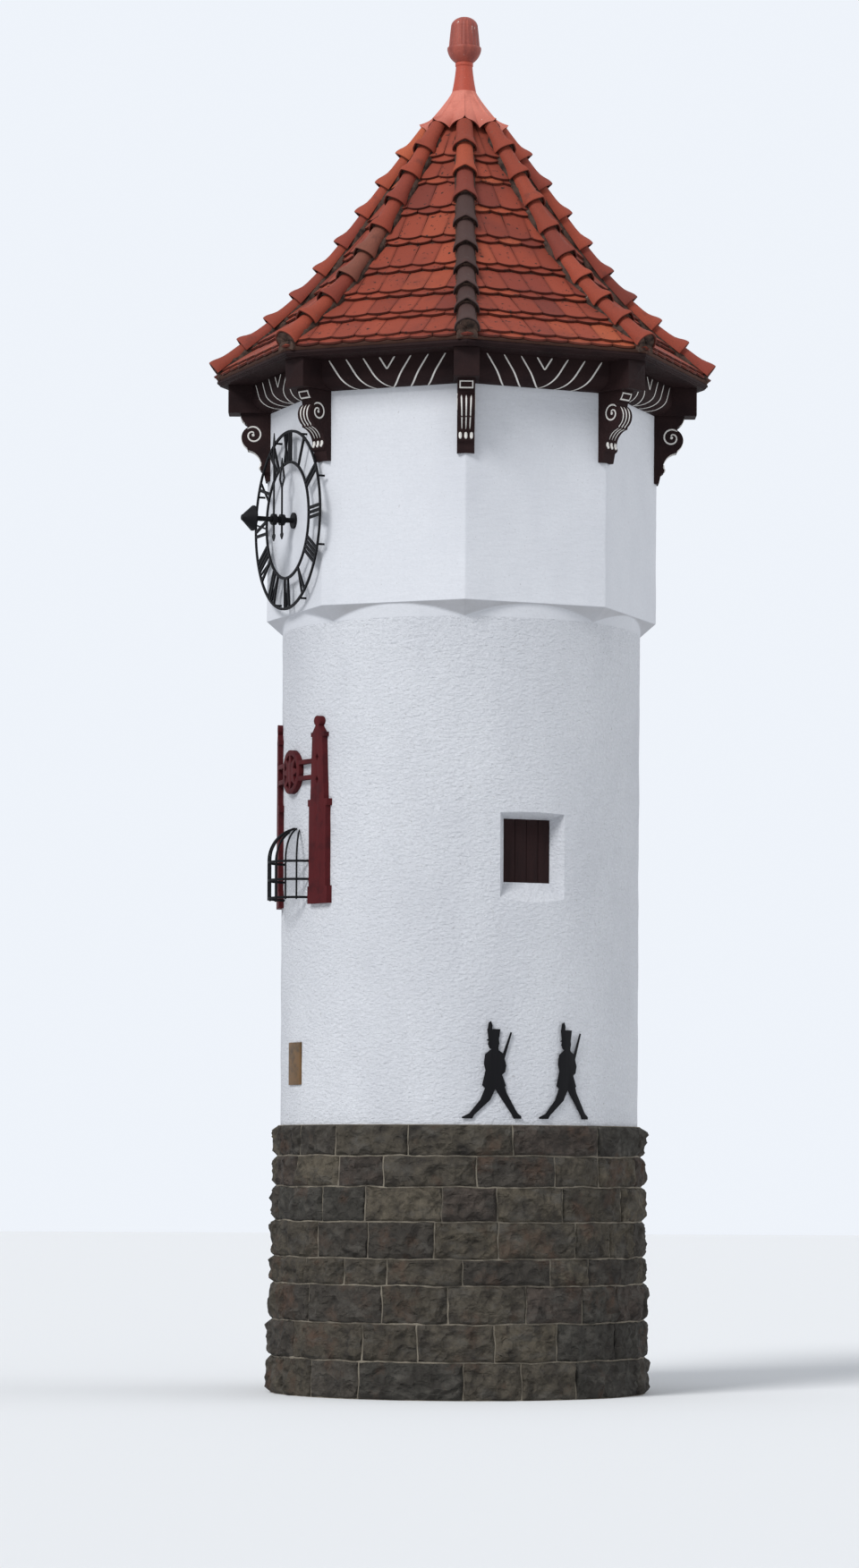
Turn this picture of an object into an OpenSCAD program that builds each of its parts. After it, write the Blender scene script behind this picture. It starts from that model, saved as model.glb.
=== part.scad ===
// Round clock tower on a stone base. The top storey is an eight-sided corbelled drum under a
// bell-cast tiled roof. Millimetres, +Z up, origin at the centre of the foot on the ground.
// A bearing of 0 faces -Y and grows towards +X. The corners of the drum stand at 0, 45, 90 and so on.

/* [Stone base] */
// Height of the stone base
base_h = 2034; // [1700:1:2300]
// Width of the ledge that the base leaves around the foot of the shaft
base_ledge = 35; // [20:1:60]
// Spread of the base from its top ledge to its foot
base_batter = 50; // [30:1:80]

/* [Round shaft] */
// Height from the top of the base to the lower edge of the drum
shaft_h = 3856; // [3500:1:4200]
// Outer radius of the rendered shaft
shaft_r = 1365; // [1345:1:1372]
// Thickness of the wall of the shaft around the round room
shaft_wall_t = 365; // [325:1:445]

/* [Window] */
// Bearing of the window on the shaft
window_bearing = 22.5; // [20:0.5:40]
// Height of the clear opening above the top of the base
window_sill = 1796; // [1500:1:2000]
// Width of the clear opening
window_w = 375; // [320:1:420]
// Height of the clear opening
window_h = 470; // [400:1:540]
// Depth of the splayed reveal in front of the shutter
reveal_d = 130; // [100:1:160]
// Spread of each splayed jamb at the face of the wall
jamb_splay = 90; // [60:1:110]
// Fall of the splayed sill at the face of the wall
sill_fall = 150; // [100:1:170]
// Rise of the splayed head at the face of the wall
head_rise = 45; // [20:1:70]
// Thickness of the boards of the shutter
shutter_board = 24; // [18:1:32]
// Thickness of the ledges across the boards
shutter_ledge = 22; // [16:1:28]

/* [Eight-sided drum] */
// Distance that the middle of a face of the drum stands out past the shaft
drum_proud = 13; // [9:1:30]
// Height of the drum walls
drum_h = 1583; // [1450:1:1700]
// Thickness of the drum walls
drum_wall = 300; // [240:1:320]
// Slope of the corbel under the drum in degrees
corbel_pitch = 43.6; // [38:0.1:50]

/* [Timber eaves] */
// Width of a beam that carries the eaves
beam_w = 187; // [150:1:200]
// Height of a beam that carries the eaves
beam_h = 212; // [180:1:240]
// Reach of a beam past the corner of the drum
beam_out = 298; // [270:1:320]
// Length of a beam that lies on the wall
beam_bearing = 340; // [250:1:380]
// Width of a bracket
bracket_w = 128; // [110:1:145]
// Reach of a bracket at its top
bracket_out = 205; // [190:1:240]
// Height of a bracket
bracket_h = 516; // [500:1:560]
// Radius of the roll at the top of a bracket
roll_r = 95; // [80:1:98]
// Radius of the volute of a bracket
volute_r = 87; // [80:1:90]
// Projection of the cove boards past the wall
cove_out = 138; // [110:1:160]
// Height of the curved part of the cove boards
cove_h = 100; // [80:1:130]
// Projection of the eaves boards past the wall
eaves_out = 359; // [340:1:370]
// Thickness of the eaves boards at their outer edge
eaves_board = 34; // [28:1:36]
// Width of each small step under the outer edge of the eaves boards
moulding_step = 10; // [8:1:11]

/* [Roof] */
// Projection of the lowest tile edge past the wall
roof_out = 392; // [385:1:420]
// Height of the lowest tile edge above the underside of the eaves boards
roof_edge_rise = 90; // [88:1:110]
// Pitch of the lowest courses in degrees
eaves_pitch = 41; // [38:0.5:44]
// Pitch of the upper courses in degrees
roof_pitch = 57.5; // [54:0.5:60]
// Courses of tiles on a slope
course_count = 8; // [7:1:9]
// Length of a course along the slope
course_gauge = 306; // [290:1:310]
// Length of the last full course along the slope
top_gauge = 220; // [180:1:300]
// Height of a tile edge above the course below it
tile_edge = 38; // [28:1:42]
// Thickness of tiles, battens and boards together
roof_shell = 62; // [56:1:64]
// Distance from the axis to the upper end of the slopes
roof_top_apothem = 235; // [225:1:245]

/* [Hip tiles] */
// Spacing of the tiles along a hip, before a whole number of them is fitted to it
hip_gauge = 277; // [270:1:280]
// Length of one hip tile
hip_length = 322; // [310:1:330]
// Outer radius of a hip tile behind its lip
hip_wide_r = 92; // [84:1:96]
// Outer radius of a hip tile at its narrow upper end
hip_narrow_r = 70; // [62:1:76]
// Outer radius of the flared lip
hip_lip_r = 122; // [110:1:126]
// Length of the flared lip
hip_lip_l = 62; // [50:1:75]
// Depth of the axis of a hip tile under the line of the tile edges
hip_sink = 35; // [28:1:42]
// Drop of the lip of the lowest tile of a hip
hip_dip = 50; // [30:1:60]
// Wall of a hip tile at its open lower end
hip_wall = 18; // [14:1:22]
// Length of a hip left bare above its last tile, under the skirt of the finial
hip_head_gap = 58; // [50:1:90]

/* [Finial] */
// Radius of the bell skirt at its foot
skirt_foot_r = 300; // [290:1:310]
// Height of the bell skirt
skirt_h = 336; // [300:1:360]
// Gap between the foot of the skirt and the line of the tile edges
skirt_lift = 20; // [16:1:40]
// Wall of the skirt measured level
skirt_wall = 20; // [16:1:24]
// Radius of the mouth of a hood over a hip
hood_r = 105; // [98:1:108]
// Radius of the small end of a hood
hood_top_r = 39; // [34:1:44]
// Length of a hood
hood_l = 230; // [200:1:250]
// Wall of a hood
hood_wall = 14; // [10:1:16]
// Radius of the neck at its foot
neck_foot_r = 93; // [86:1:98]
// Radius of the neck at its top
neck_top_r = 63; // [58:1:66]
// Height of the neck
neck_h = 198; // [180:1:220]
// Height of the collar on the neck
collar_h = 28; // [20:1:34]
// Radius of the cup at its rim
cup_r = 130; // [122:1:136]
// Height of the cup
cup_h = 117; // [105:1:125]
// Radius of the acorn where it leaves the cup
acorn_r = 120; // [114:1:121]
// Height of the acorn
acorn_h = 235; // [220:1:250]

/* [Clock] */
// Bearing of the face that carries the clock
dial_bearing = -67.5; // [-67.5:45:-22.5]
// Height of the centre of the dial above the foot of the drum
dial_rise = 700; // [690:1:705]
// Outer radius of the dial
dial_r = 675; // [650:1:678]
// Outer radius of the inner ring
dial_inner_r = 445; // [430:1:460]
// Width of a ring
ring_w = 20; // [14:1:26]
// Thickness of the rings and numerals
ring_t = 14; // [10:1:16]
// Gap between the wall and the back of the dial
dial_gap = 48; // [46:1:60]
// Radius of the fixed centre post
post_r = 19; // [16:1:22]
// Length of the centre post from the wall
post_l = 327; // [300:1:360]
// Radius of the shade at the end of the centre post
shade_r = 95; // [85:1:105]
// Length of the shade
shade_l = 97; // [85:1:110]
// Distance from the wall to the middle of the hour hand
hour_plane = 100; // [98:1:104]
// Distance from the wall to the middle of the minute hand
minute_plane = 165; // [160:1:175]
// Length of the hour hand from the centre
hour_l = 470; // [440:1:500]
// Length of the minute hand from the centre
minute_l = 650; // [620:1:665]
// Thickness of a hand
hand_t = 8; // [6:1:10]
// Radius of a hub
hub_r = 42; // [38:1:48]
// Length of a hub
hub_l = 34; // [28:1:40]
// Running clearance between a hub and the centre post
hub_clearance = 0.05; // [0.03:0.01:0.08]

/* [Wall ornaments] */
// Bearing of the red relief and its grille
relief_bearing = -67.5; // [-70:0.5:-64]
// Height of the foot of the relief above the top of the base
relief_rise = 1651; // [1500:1:1700]
// Height of the relief
relief_h = 1400; // [1360:1:1440]
// Distance from the middle of the relief to the middle of a pillar
pillar_offset = 405; // [390:1:430]
// Thickness of the relief
relief_t = 40; // [30:1:50]
// Reach of the basket grille past the wall
grille_out = 190; // [170:1:210]
// Bearings of the two guards
guard_bearings = [9.5, 34];
// Height of a guard from the soles to the top of the hat
guard_h = 718; // [680:1:740]
// Height of the soles of the guards above the top of the base
guard_rise = 45; // [30:1:80]
// Thickness of the sheet that the guards are cut from
guard_t = 6; // [4:1:8]
// Gap between the guards and the wall
guard_gap = 12; // [8:1:16]
// Bearing of the blank plaque
plaque_bearing = -65.5; // [-68:0.5:-62]
// Height of the foot of the plaque above the top of the base
plaque_rise = 300; // [250:1:350]
// Width of the plaque
plaque_w = 220; // [180:1:260]
// Height of the plaque
plaque_h = 320; // [280:1:360]

/* [Hidden] */
$fn = 120;

// Half of the angle of one face of the drum
half_face = 22.5;
// Gap of a piece that lies on a curved seat
seat = 0.3;
// Longer than any piece
far = 3000;

room_r = shaft_r - shaft_wall_t;
base_top_r = shaft_r + base_ledge;
base_foot_r = base_top_r + base_batter;

// Levels from the ground up
shaft_z = base_h;
drum_z = shaft_z + shaft_h;
plate_z = drum_z + drum_h;
eaves_z = plate_z + beam_h;
roof_edge_z = eaves_z + roof_edge_rise;

drum_apothem = shaft_r + drum_proud;
drum_corner_r = drum_apothem / cos(half_face);
corbel_drop = (drum_corner_r - shaft_r) * cos(half_face) * tan(corbel_pitch);
corbel_z = drum_z - corbel_drop;
roof_edge_apothem = drum_apothem + roof_out;

// Courses of the roof. Two low courses, then each course is steeper until the full pitch.
pitch_step = (roof_pitch - eaves_pitch) / 3;
function pitch(k) = min(roof_pitch, eaves_pitch + max(0, k - 1) * pitch_step);
function gauge(k) = k == course_count - 2 ? top_gauge : course_gauge;
function edge_a(k) = k == 0 ? roof_edge_apothem : edge_a(k - 1) - gauge(k - 1) * cos(pitch(k - 1));
function edge_z(k) = k == 0 ? roof_edge_z : edge_z(k - 1) + gauge(k - 1) * sin(pitch(k - 1));
last = course_count - 1;
roof_top_z = edge_z(last) + (edge_a(last) - roof_top_apothem) * tan(roof_pitch);
// Points on the line of the tile edges, seen square to a face
edges = concat([for (k = [0:last]) [edge_a(k), edge_z(k)]], [[roof_top_apothem, roof_top_z]]);
function down(k, depth) = [depth * sin(pitch(k)), depth * cos(pitch(k))];
// Height of the seat of the lowest course
function under_z(a) =
    roof_edge_z - (roof_shell + seat) / cos(eaves_pitch) + (roof_edge_apothem - a) * tan(eaves_pitch);
function edge_line_z(a) = edges[last][1] + (edges[last][0] - a) * tan(roof_pitch);

// Hip line over the corners, with the length along it at each point
hip_line = [for (p = edges) [p[0] / cos(half_face), p[1]]];
function run(k) = k == 0 ? 0 : run(k - 1) + norm(hip_line[k] - hip_line[k - 1]);
function piece_at(s, k = 1) = k == course_count || s < run(k) ? k : piece_at(s, k + 1);
function hip_point(s) =
    let (k = piece_at(s), t = (s - run(k - 1)) / (run(k) - run(k - 1)))
    hip_line[k - 1] + t * (hip_line[k] - hip_line[k - 1]);

skirt_z = edge_line_z(skirt_foot_r) + skirt_lift;
neck_z = skirt_z + skirt_h;
cup_z = neck_z + neck_h + collar_h;
acorn_z = cup_z + cup_h;
hip_pitch = atan(tan(roof_pitch) * cos(half_face));
// Distance of the first lip from the foot of the hip line
hip_start = 9;
// A whole number of hip tiles, evenly spaced
hip_row_l = run(course_count) - hip_head_gap - hip_start;
hip_count = round(hip_row_l / hip_gauge);
hip_step = hip_row_l / hip_count;
dial_z = drum_z + dial_rise;

// Points on an arc, from one angle to another
function arc(centre, r, from, to, steps) =
    [for (i = [0:steps]) let (a = from + (to - from) * i / steps) centre + r * [cos(a), sin(a)]];
// Points on a curve from p to q that is drawn towards c
function bend(p, c, q, steps) =
    [for (i = [0:steps]) let (t = i / steps) (1 - t) * (1 - t) * p + 2 * t * (1 - t) * c + t * t * q];

// A profile in distance from the axis and height, drawn out level along a face
module along_face(points, length) {
    rotate([90, 0, 90]) translate([0, 0, -length / 2]) linear_extrude(length)
        mirror([1, 0]) polygon(points);
}

// The sector that belongs to one face, less a strip beside each corner
module face_sector(strip = 0) {
    apex = strip / sin(half_face);
    linear_extrude(far * 4) polygon([[0, -apex], [far * tan(half_face), -apex - far],
        [-far * tan(half_face), -apex - far]]);
}

// Turns a piece that is drawn facing -Y to its bearing
module facing(bearing) {
    rotate([0, 0, bearing]) children();
}

// A quarter of a round wall that starts at a bearing
module quarter_wall(bearing, points) {
    rotate([0, 0, bearing - 90]) rotate_extrude(angle = 90) polygon(points);
}

// The curved plate between two distances from the face of the shaft
module shaft_skin(from, to) {
    difference() {
        cylinder(r = shaft_r + to, h = far * 2);
        translate([0, 0, -1]) cylinder(r = shaft_r + from, h = far * 2 + 2);
    }
}

// An outline drawn on a plane that faces -Y, carried through the wall face
module through_face(z) {
    translate([0, 0, z]) rotate([90, 0, 0]) linear_extrude(far) children();
}

module base_wall(bearing) {
    color("dimgray") quarter_wall(bearing,
        [[room_r, 0], [base_foot_r, 0], [base_top_r, base_h], [room_r, base_h]]);
}

module shaft_quarter(bearing) {
    quarter_wall(bearing, [[room_r, shaft_z], [shaft_r, shaft_z], [shaft_r, corbel_z], [room_r, corbel_z]]);
}

module shaft_wall(bearing) {
    color("white") shaft_quarter(bearing);
}

// Opening of the window, straight through the wall and splayed in front
module window_cut() {
    z0 = shaft_z + window_sill;
    face_y = -shaft_r;
    back_y = face_y + reveal_d;
    reach = 60;
    grow = (reveal_d + reach) / reveal_d;
    translate([-window_w / 2, -shaft_r - reach, z0]) cube([window_w, shaft_r - room_r + reach * 4, window_h]);
    intersection() {
        translate([0, 0, z0 - 2 * sill_fall]) linear_extrude(window_h + 4 * sill_fall) polygon([
            [-window_w / 2, back_y], [window_w / 2, back_y],
            [window_w / 2 + jamb_splay * grow, face_y - reach],
            [-window_w / 2 - jamb_splay * grow, face_y - reach]]);
        rotate([90, 0, 90]) translate([0, 0, -far / 2]) linear_extrude(far) polygon([
            [back_y, z0], [back_y, z0 + window_h],
            [face_y - reach, z0 + window_h + head_rise * grow],
            [face_y - reach, z0 - sill_fall * grow]]);
    }
}

module shaft_wall_window() {
    color("white") difference() {
        shaft_quarter(0);
        facing(window_bearing) window_cut();
    }
}

// Vertical boards on two ledges, set at the back of the reveal
module window_shutter() {
    z0 = shaft_z + window_sill;
    front = -shaft_r + reveal_d;
    color("maroon") facing(window_bearing) union() {
        translate([-window_w / 2, front, z0]) cube([window_w, shutter_board, window_h]);
        for (z = [0.16, 0.7]) translate([-window_w * 0.42, front + shutter_board, z0 + window_h * z])
            cube([window_w * 0.84, shutter_ledge, window_h * 0.14]);
    }
}

// One wall of the drum with its part of the corbel
module drum_wall_at(bearing) {
    inner = drum_apothem - drum_wall;
    core = room_r - 200;
    color("white") facing(bearing) intersection() {
        face_sector(seat / 2);
        difference() {
            union() {
                along_face([[core, corbel_z], [drum_apothem - corbel_drop / tan(corbel_pitch), corbel_z],
                    [drum_apothem, drum_z], [drum_apothem, plate_z], [core, plate_z]], far);
                translate([0, 0, corbel_z]) cylinder(r = shaft_r, h = corbel_drop);
            }
            translate([0, 0, corbel_z - 1]) cylinder(r = room_r, h = corbel_drop + 2);
            along_face([[0, drum_z], [inner, drum_z], [inner, plate_z + 1], [0, plate_z + 1]], far);
        }
    }
}

// Square beams that lie on the corners of the wall and carry the eaves
module eaves_beams() {
    color("maroon") for (i = [0:7]) facing(45 * i)
        translate([-beam_w / 2, -drum_corner_r - beam_out, plate_z + seat])
            cube([beam_w, beam_out + beam_bearing, beam_h - seat]);
}

// Side outline of a bracket, out from the corner and down from the beam
function bracket_outline() =
    let (volute = [bracket_out - 8 - volute_r, -roll_r - volute_r - 1],
        sweep_r = 122, bead_r = 22, bead = [32, volute[1] - volute_r - 146])
    concat(
        [[-60, 0]],
        arc([bracket_out - roll_r, 0], roll_r, 0, -62, 8),
        arc(volute, volute_r, 62, -60, 12),
        arc([bead[0] + 133, bead[1] + 19], sweep_r, 97, 174, 8),
        arc(bead, bead_r, 55, -60, 6),
        [[28, bead[1] - bead_r - 6], [12, -bracket_h], [-60, -bracket_h]]);

// Scrolled brackets under the beams, notched over the corners of the wall
module eaves_brackets() {
    color("maroon") for (i = [0:7]) facing(45 * i) difference() {
        translate([0, -drum_corner_r, plate_z]) rotate([90, 0, -90])
            translate([0, 0, -bracket_w / 2]) linear_extrude(bracket_w) polygon(bracket_outline());
        translate([0, 0, drum_z]) cylinder(r = drum_corner_r, h = drum_h + 1, $fn = 8);
    }
}

// Rounded cove boards between the beams
module cove_boards() {
    centre = [drum_apothem, plate_z + cove_h];
    color("maroon") for (i = [0:7]) facing(45 * i + half_face) intersection() {
        face_sector(beam_w / 2 + seat);
        along_face(concat(
            [[drum_apothem - 100, plate_z]],
            [for (i = [0:8]) let (t = 90 * i / 8) centre + [cove_out * sin(t), -cove_h * cos(t)]],
            [[drum_apothem + cove_out, eaves_z], [drum_apothem - 100, eaves_z]]), far);
    }
}

// Boards that close the eaves, with a wedge under the slopes
module eaves_boards() {
    outer = drum_apothem + eaves_out;
    inner = drum_apothem + 60;
    edge_z0 = eaves_z + moulding_step * 2;
    color("maroon") for (i = [0:7]) facing(45 * i + half_face) intersection() {
        face_sector(seat / 2);
        along_face([[drum_apothem - 100, eaves_z], [outer - moulding_step * 2, eaves_z],
            [outer - moulding_step * 2, eaves_z + moulding_step], [outer - moulding_step, eaves_z + moulding_step],
            [outer - moulding_step, edge_z0], [outer, edge_z0], [outer, under_z(outer)], [inner, under_z(inner)],
            [inner, eaves_z + eaves_board], [drum_apothem - 100, eaves_z + eaves_board]], far);
    }
}

// Outer line of the courses: each rises from its edge to the foot of the next edge
function course_line() = [for (k = [0:last]) each [edges[k], edges[k + 1] - down(k, tile_edge)]];

// One slope of the roof, stepped course by course
module roof_slope(bearing) {
    lower = [for (k = [last:-1:0]) edges[k] - down(k, roof_shell)];
    color("firebrick") facing(bearing) intersection() {
        face_sector(seat / 2);
        along_face(concat(course_line(), [edges[last + 1] - down(last, roof_shell)], lower), far);
    }
}

// The solid under the two slopes that meet over the corner that faces -Y, with the gap of a seat
module hip_mass() {
    filled = concat([for (p = course_line()) p + [seat, 0]], [[0, edges[last + 1][1]],
        [0, roof_edge_z - far / 10], [roof_edge_apothem + seat, roof_edge_z - far / 10]]);
    intersection_for(side = [-1, 1]) facing(side * half_face) along_face(filled, far);
}

// Half-section of a hip tile: flared lip, long taper and open mouth
function hip_section(length) = concat(
    [[0, 22], [hip_wide_r - hip_wall, 22], [hip_lip_r - hip_wall, 0], [hip_lip_r, 0]],
    [[hip_lip_r - 6, 14], [hip_wide_r + 6, hip_lip_l * 0.6], [hip_wide_r, hip_lip_l]],
    [[hip_narrow_r, length], [0, length]]);

// One row of tiles over a corner of the roof, drawn over the corner that faces -Y
module hip_row() {
    difference() {
        for (i = [0:hip_count - 1]) {
            s = i * hip_step + hip_start;
            aim = hip_point(s) - [0, i == 0 ? hip_dip : 0];
            high = hip_point(s + hip_length);
            lean = atan2(high[1] - aim[1], aim[0] - high[0]);
            low = high + hip_length * [cos(lean), -sin(lean)];
            sink = hip_sink * [sin(lean), cos(lean)];
            translate([0, sink[0] - low[0], low[1] - sink[1]]) rotate([lean - 90, 0, 0])
                rotate_extrude($fn = 48) polygon(hip_section(i == hip_count - 1 ? hip_step : hip_length));
        }
        hip_mass();
        translate([0, 0, roof_edge_z - tile_edge - far]) cylinder(r = far, h = far, $fn = 8);
    }
}

module hip_tiles() {
    color("sienna") for (i = [0:7]) facing(45 * i) hip_row();
}

// Outer curve of the bell skirt from its foot to the neck, moved in by a wall
function bell(wall) = bend([skirt_foot_r - wall, skirt_z],
    [neck_foot_r + 32 - wall, skirt_z + skirt_h * 0.74], [neck_foot_r - wall, neck_z], 8);

// The cone of a hood over one hip, less a wall, and carried on in front of its mouth
module hood(wall, front = 0) {
    crown = [skirt_foot_r + 44, skirt_z + 65];
    axis = crown - hood_r * [sin(hip_pitch), cos(hip_pitch)];
    taper = (hood_r - hood_top_r) / hood_l;
    translate([0, -axis[0], axis[1]]) rotate([hip_pitch - 90, 0, 0]) translate([0, 0, -front])
        cylinder(r1 = hood_r - wall + taper * front, r2 = hood_top_r - wall, h = hood_l + front, $fn = 48);
}

// Bell skirt of the finial with a hood over each hip and cusps between them
module finial_skirt() {
    low = skirt_z - 200;
    color("sienna") difference() {
        union() {
            rotate_extrude() polygon(concat([[0, skirt_z]], bell(0), [[0, neck_z]]));
            for (i = [0:7]) facing(45 * i) hood(0);
        }
        rotate_extrude() polygon(concat(
            [[0, low], [skirt_foot_r - skirt_wall + 200 / tan(hip_pitch), low]], bell(skirt_wall),
            [[neck_foot_r - skirt_wall, neck_z + 1], [0, neck_z + 1]]));
        for (i = [0:7]) facing(45 * i) hood(hood_wall, 45);
    }
}

// Mortar that beds the skirt on the heads of the slopes
module finial_bed() {
    bed_r = roof_top_apothem - roof_shell * sin(roof_pitch) - seat;
    color("gray") intersection() {
        rotate_extrude() polygon(concat([[0, skirt_z - 200], [skirt_foot_r, skirt_z - 200]],
            bell(skirt_wall + seat), [[0, neck_z]]));
        translate([0, 0, skirt_z - 150]) cylinder(r = bed_r, h = skirt_h + 150 - 60);
    }
}

module finial_neck() {
    shoulder = neck_top_r + 5;
    color("sienna") rotate_extrude() polygon(concat([[0, neck_z]],
        bend([neck_foot_r, neck_z], [neck_top_r + 8, neck_z + neck_h * 0.5], [neck_top_r, neck_z + neck_h], 6),
        [[shoulder, neck_z + neck_h], [shoulder, cup_z], [0, cup_z]]));
}

module finial_cup() {
    color("sienna") rotate_extrude() polygon(concat([[0, cup_z]],
        bend([neck_top_r, cup_z], [cup_r - 12, cup_z + cup_h * 0.3], [cup_r, cup_z + cup_h * 0.85], 8),
        [[cup_r, acorn_z], [0, acorn_z]]));
}

module finial_acorn() {
    shoulder = acorn_r - 16;
    color("sienna") rotate_extrude() polygon(concat([[0, acorn_z], [acorn_r, acorn_z]],
        bend([shoulder, acorn_z + acorn_h * 0.66], [shoulder - 6, acorn_z + acorn_h], [0, acorn_z + acorn_h], 8)));
}

// A frame on the wall under the clock: x to the right, y up and z out from the wall
module on_dial() {
    facing(dial_bearing) translate([0, -drum_apothem, dial_z]) rotate([90, 0, 0]) children();
}

// Roman numerals by hour, and the width of each stroke group
numerals = ["XII", "I", "II", "III", "IIII", "V", "VI", "VII", "VIII", "IX", "X", "XI"];
thick = 22;
thin = 11;
function stroke_w(c) = c == "I" ? 36 : 92;
function width_to(s, n) = n == 0 ? 0 : width_to(s, n - 1) + stroke_w(s[n - 1]);

// A slanted stroke between the two rings
module stroke(low, high, w) {
    r0 = dial_inner_r - 3;
    r1 = dial_r - ring_w + 3;
    polygon([[low - w / 2, r0], [low + w / 2, r0], [high + w / 2, r1], [high - w / 2, r1]]);
}

module numeral(s) {
    for (n = [0:len(s) - 1]) translate([width_to(s, n) + stroke_w(s[n]) / 2 - width_to(s, len(s)) / 2, 0]) {
        if (s[n] == "I") stroke(0, 0, thick);
        if (s[n] == "V") {
            stroke(2, -28, thick);
            stroke(-2, 28, thin);
        }
        if (s[n] == "X") {
            stroke(28, -28, thick);
            stroke(-28, 28, thin);
        }
    }
}

// Open dial: two rings joined by the numerals
module clock_dial() {
    color("black") on_dial() translate([0, 0, dial_gap]) linear_extrude(ring_t) union() {
        difference() {
            circle(r = dial_r);
            circle(r = dial_r - ring_w);
        }
        difference() {
            circle(r = dial_inner_r);
            circle(r = dial_inner_r - ring_w);
        }
        for (h = [0:11]) rotate([0, 0, -30 * h]) numeral(numerals[h]);
    }
}

module dial_standoffs() {
    color("black") on_dial() for (i = [0:7]) rotate([0, 0, 45 * i + 22.5])
        translate([0, dial_r - ring_w / 2, 0]) cylinder(r = 8, h = dial_gap, $fn = 32);
}

// Fixed post with a wall plate and a collar on each side of a hub
module centre_post() {
    color("black") on_dial() union() {
        cylinder(r = post_r, h = post_l);
        cylinder(r = 60, h = 14);
        for (z = [hour_plane, minute_plane]) for (side = [-1, 1])
            translate([0, 0, z + side * (hub_l / 2 + 5.5) - 5]) cylinder(r = post_r + 7, h = 10);
    }
}

module post_shade() {
    color("black") on_dial() translate([0, 0, post_l]) rotate_extrude() polygon([
        [0, 0], [shade_r, 0], [shade_r, 10], [24, shade_l - 8], [20, shade_l], [0, shade_l]]);
}

// A flat leaf at the end of a tail
module spade(y, w, l) {
    polygon(concat([[0, y - l]], bend([w * 0.5, y - l * 0.55], [w, y], [w * 0.16, y + l * 0.2], 5),
        bend([-w * 0.16, y + l * 0.2], [-w, y], [-w * 0.5, y - l * 0.55], 5)));
}

module hub(plane) {
    translate([0, 0, plane - hub_l / 2]) difference() {
        cylinder(r = hub_r, h = hub_l);
        translate([0, 0, -1]) cylinder(r = post_r + hub_clearance, h = hub_l + 2);
    }
}

// A hand cut from plate around a hub
module hand(plane) {
    difference() {
        translate([0, 0, plane - hand_t / 2]) linear_extrude(hand_t) children();
        translate([0, 0, plane - hand_t]) cylinder(r = post_r + 8, h = hand_t * 2);
    }
    hub(plane);
}

module hour_hand() {
    mid = hour_l * 0.66;
    color("black") on_dial() hand(hour_plane) union() {
        polygon([[-13, -110], [13, -110], [11, mid - 60], [-11, mid - 60]]);
        difference() {
            polygon([[0, mid - 82], [58, mid], [0, hour_l], [-58, mid]]);
            polygon([[0, mid - 48], [34, mid], [0, hour_l - 62], [-34, mid]]);
        }
        spade(-102, 38, 45);
    }
}

module minute_hand() {
    color("black") on_dial() hand(minute_plane) union() {
        polygon([[-13, -125], [13, -125], [9, minute_l - 90], [-9, minute_l - 90]]);
        polygon([[0, minute_l - 118], [22, minute_l - 84], [0, minute_l], [-22, minute_l - 84]]);
        spade(-118, 42, 48);
    }
}

// Outline of one pillar of the relief: plinth, wide stage, narrow stage, cap and ball
module pillar() {
    translate([-110, 0]) square([220, 130]);
    translate([-95, 120]) square([190, relief_h * 0.52 - 120]);
    translate([-110, relief_h * 0.52]) square([220, 50]);
    polygon([[-78, relief_h * 0.52 + 40], [78, relief_h * 0.52 + 40], [58, relief_h - 150], [-58, relief_h - 150]]);
    translate([-74, relief_h - 155]) square([148, 32]);
    polygon([[-56, relief_h - 124], [56, relief_h - 124], [14, relief_h - 66], [-14, relief_h - 66]]);
    translate([0, relief_h - 38]) circle(r = 38);
}

module lozenge(w, h) {
    polygon([[0, -h / 2], [w / 2, 0], [0, h / 2], [-w / 2, 0]]);
}

// Red relief of two pillars that hold a ring with a star between them
module pillar_relief() {
    ring_z = relief_h * 0.72;
    ring_r = 165;
    color("maroon") facing(relief_bearing) intersection() {
        shaft_skin(seat, relief_t);
        through_face(shaft_z + relief_rise) difference() {
            union() {
                for (side = [-1, 1]) translate([side * pillar_offset, 0]) pillar();
                for (dz = [-60, 60]) translate([-pillar_offset, ring_z + dz - 16]) square([pillar_offset * 2, 32]);
                translate([0, ring_z]) circle(r = ring_r);
            }
            translate([0, ring_z]) difference() {
                circle(r = ring_r - 38);
                for (a = [0, 45, 90, 135]) rotate(a) lozenge(90, 2 * ring_r);
            }
            for (side = [-1, 1]) for (n = [0:1]) translate([side * pillar_offset, relief_h * (0.66 + 0.12 * n)])
                lozenge(34, 62);
        }
    }
}

// Iron basket of upright bars that bend back to the wall over flat hoops
module basket_grille() {
    foot = shaft_z + relief_rise + 40;
    bar_r = 7;
    bow_r = 250;
    axis_y = -shaft_r - grille_out + bow_r;
    upright = 300;
    color("black") facing(relief_bearing) difference() {
        translate([0, axis_y, foot]) union() {
            for (z = [14, upright * 0.5, upright - 14]) translate([0, 0, z - 9]) difference() {
                cylinder(r = bow_r + 4, h = 18);
                translate([0, 0, -1]) cylinder(r = bow_r - 4, h = 20);
            }
            for (a = [-60:20:60]) rotate([0, 0, a]) {
                translate([0, -bow_r, 0]) cylinder(r = bar_r, h = upright, $fn = 24);
                translate([0, 0, upright]) rotate([90, 0, -90]) rotate_extrude(angle = 90, $fn = 96)
                    translate([bow_r, 0]) circle(r = bar_r, $fn = 24);
            }
        }
        translate([0, 0, shaft_z]) cylinder(r = shaft_r + seat, h = shaft_h);
    }
}

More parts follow.
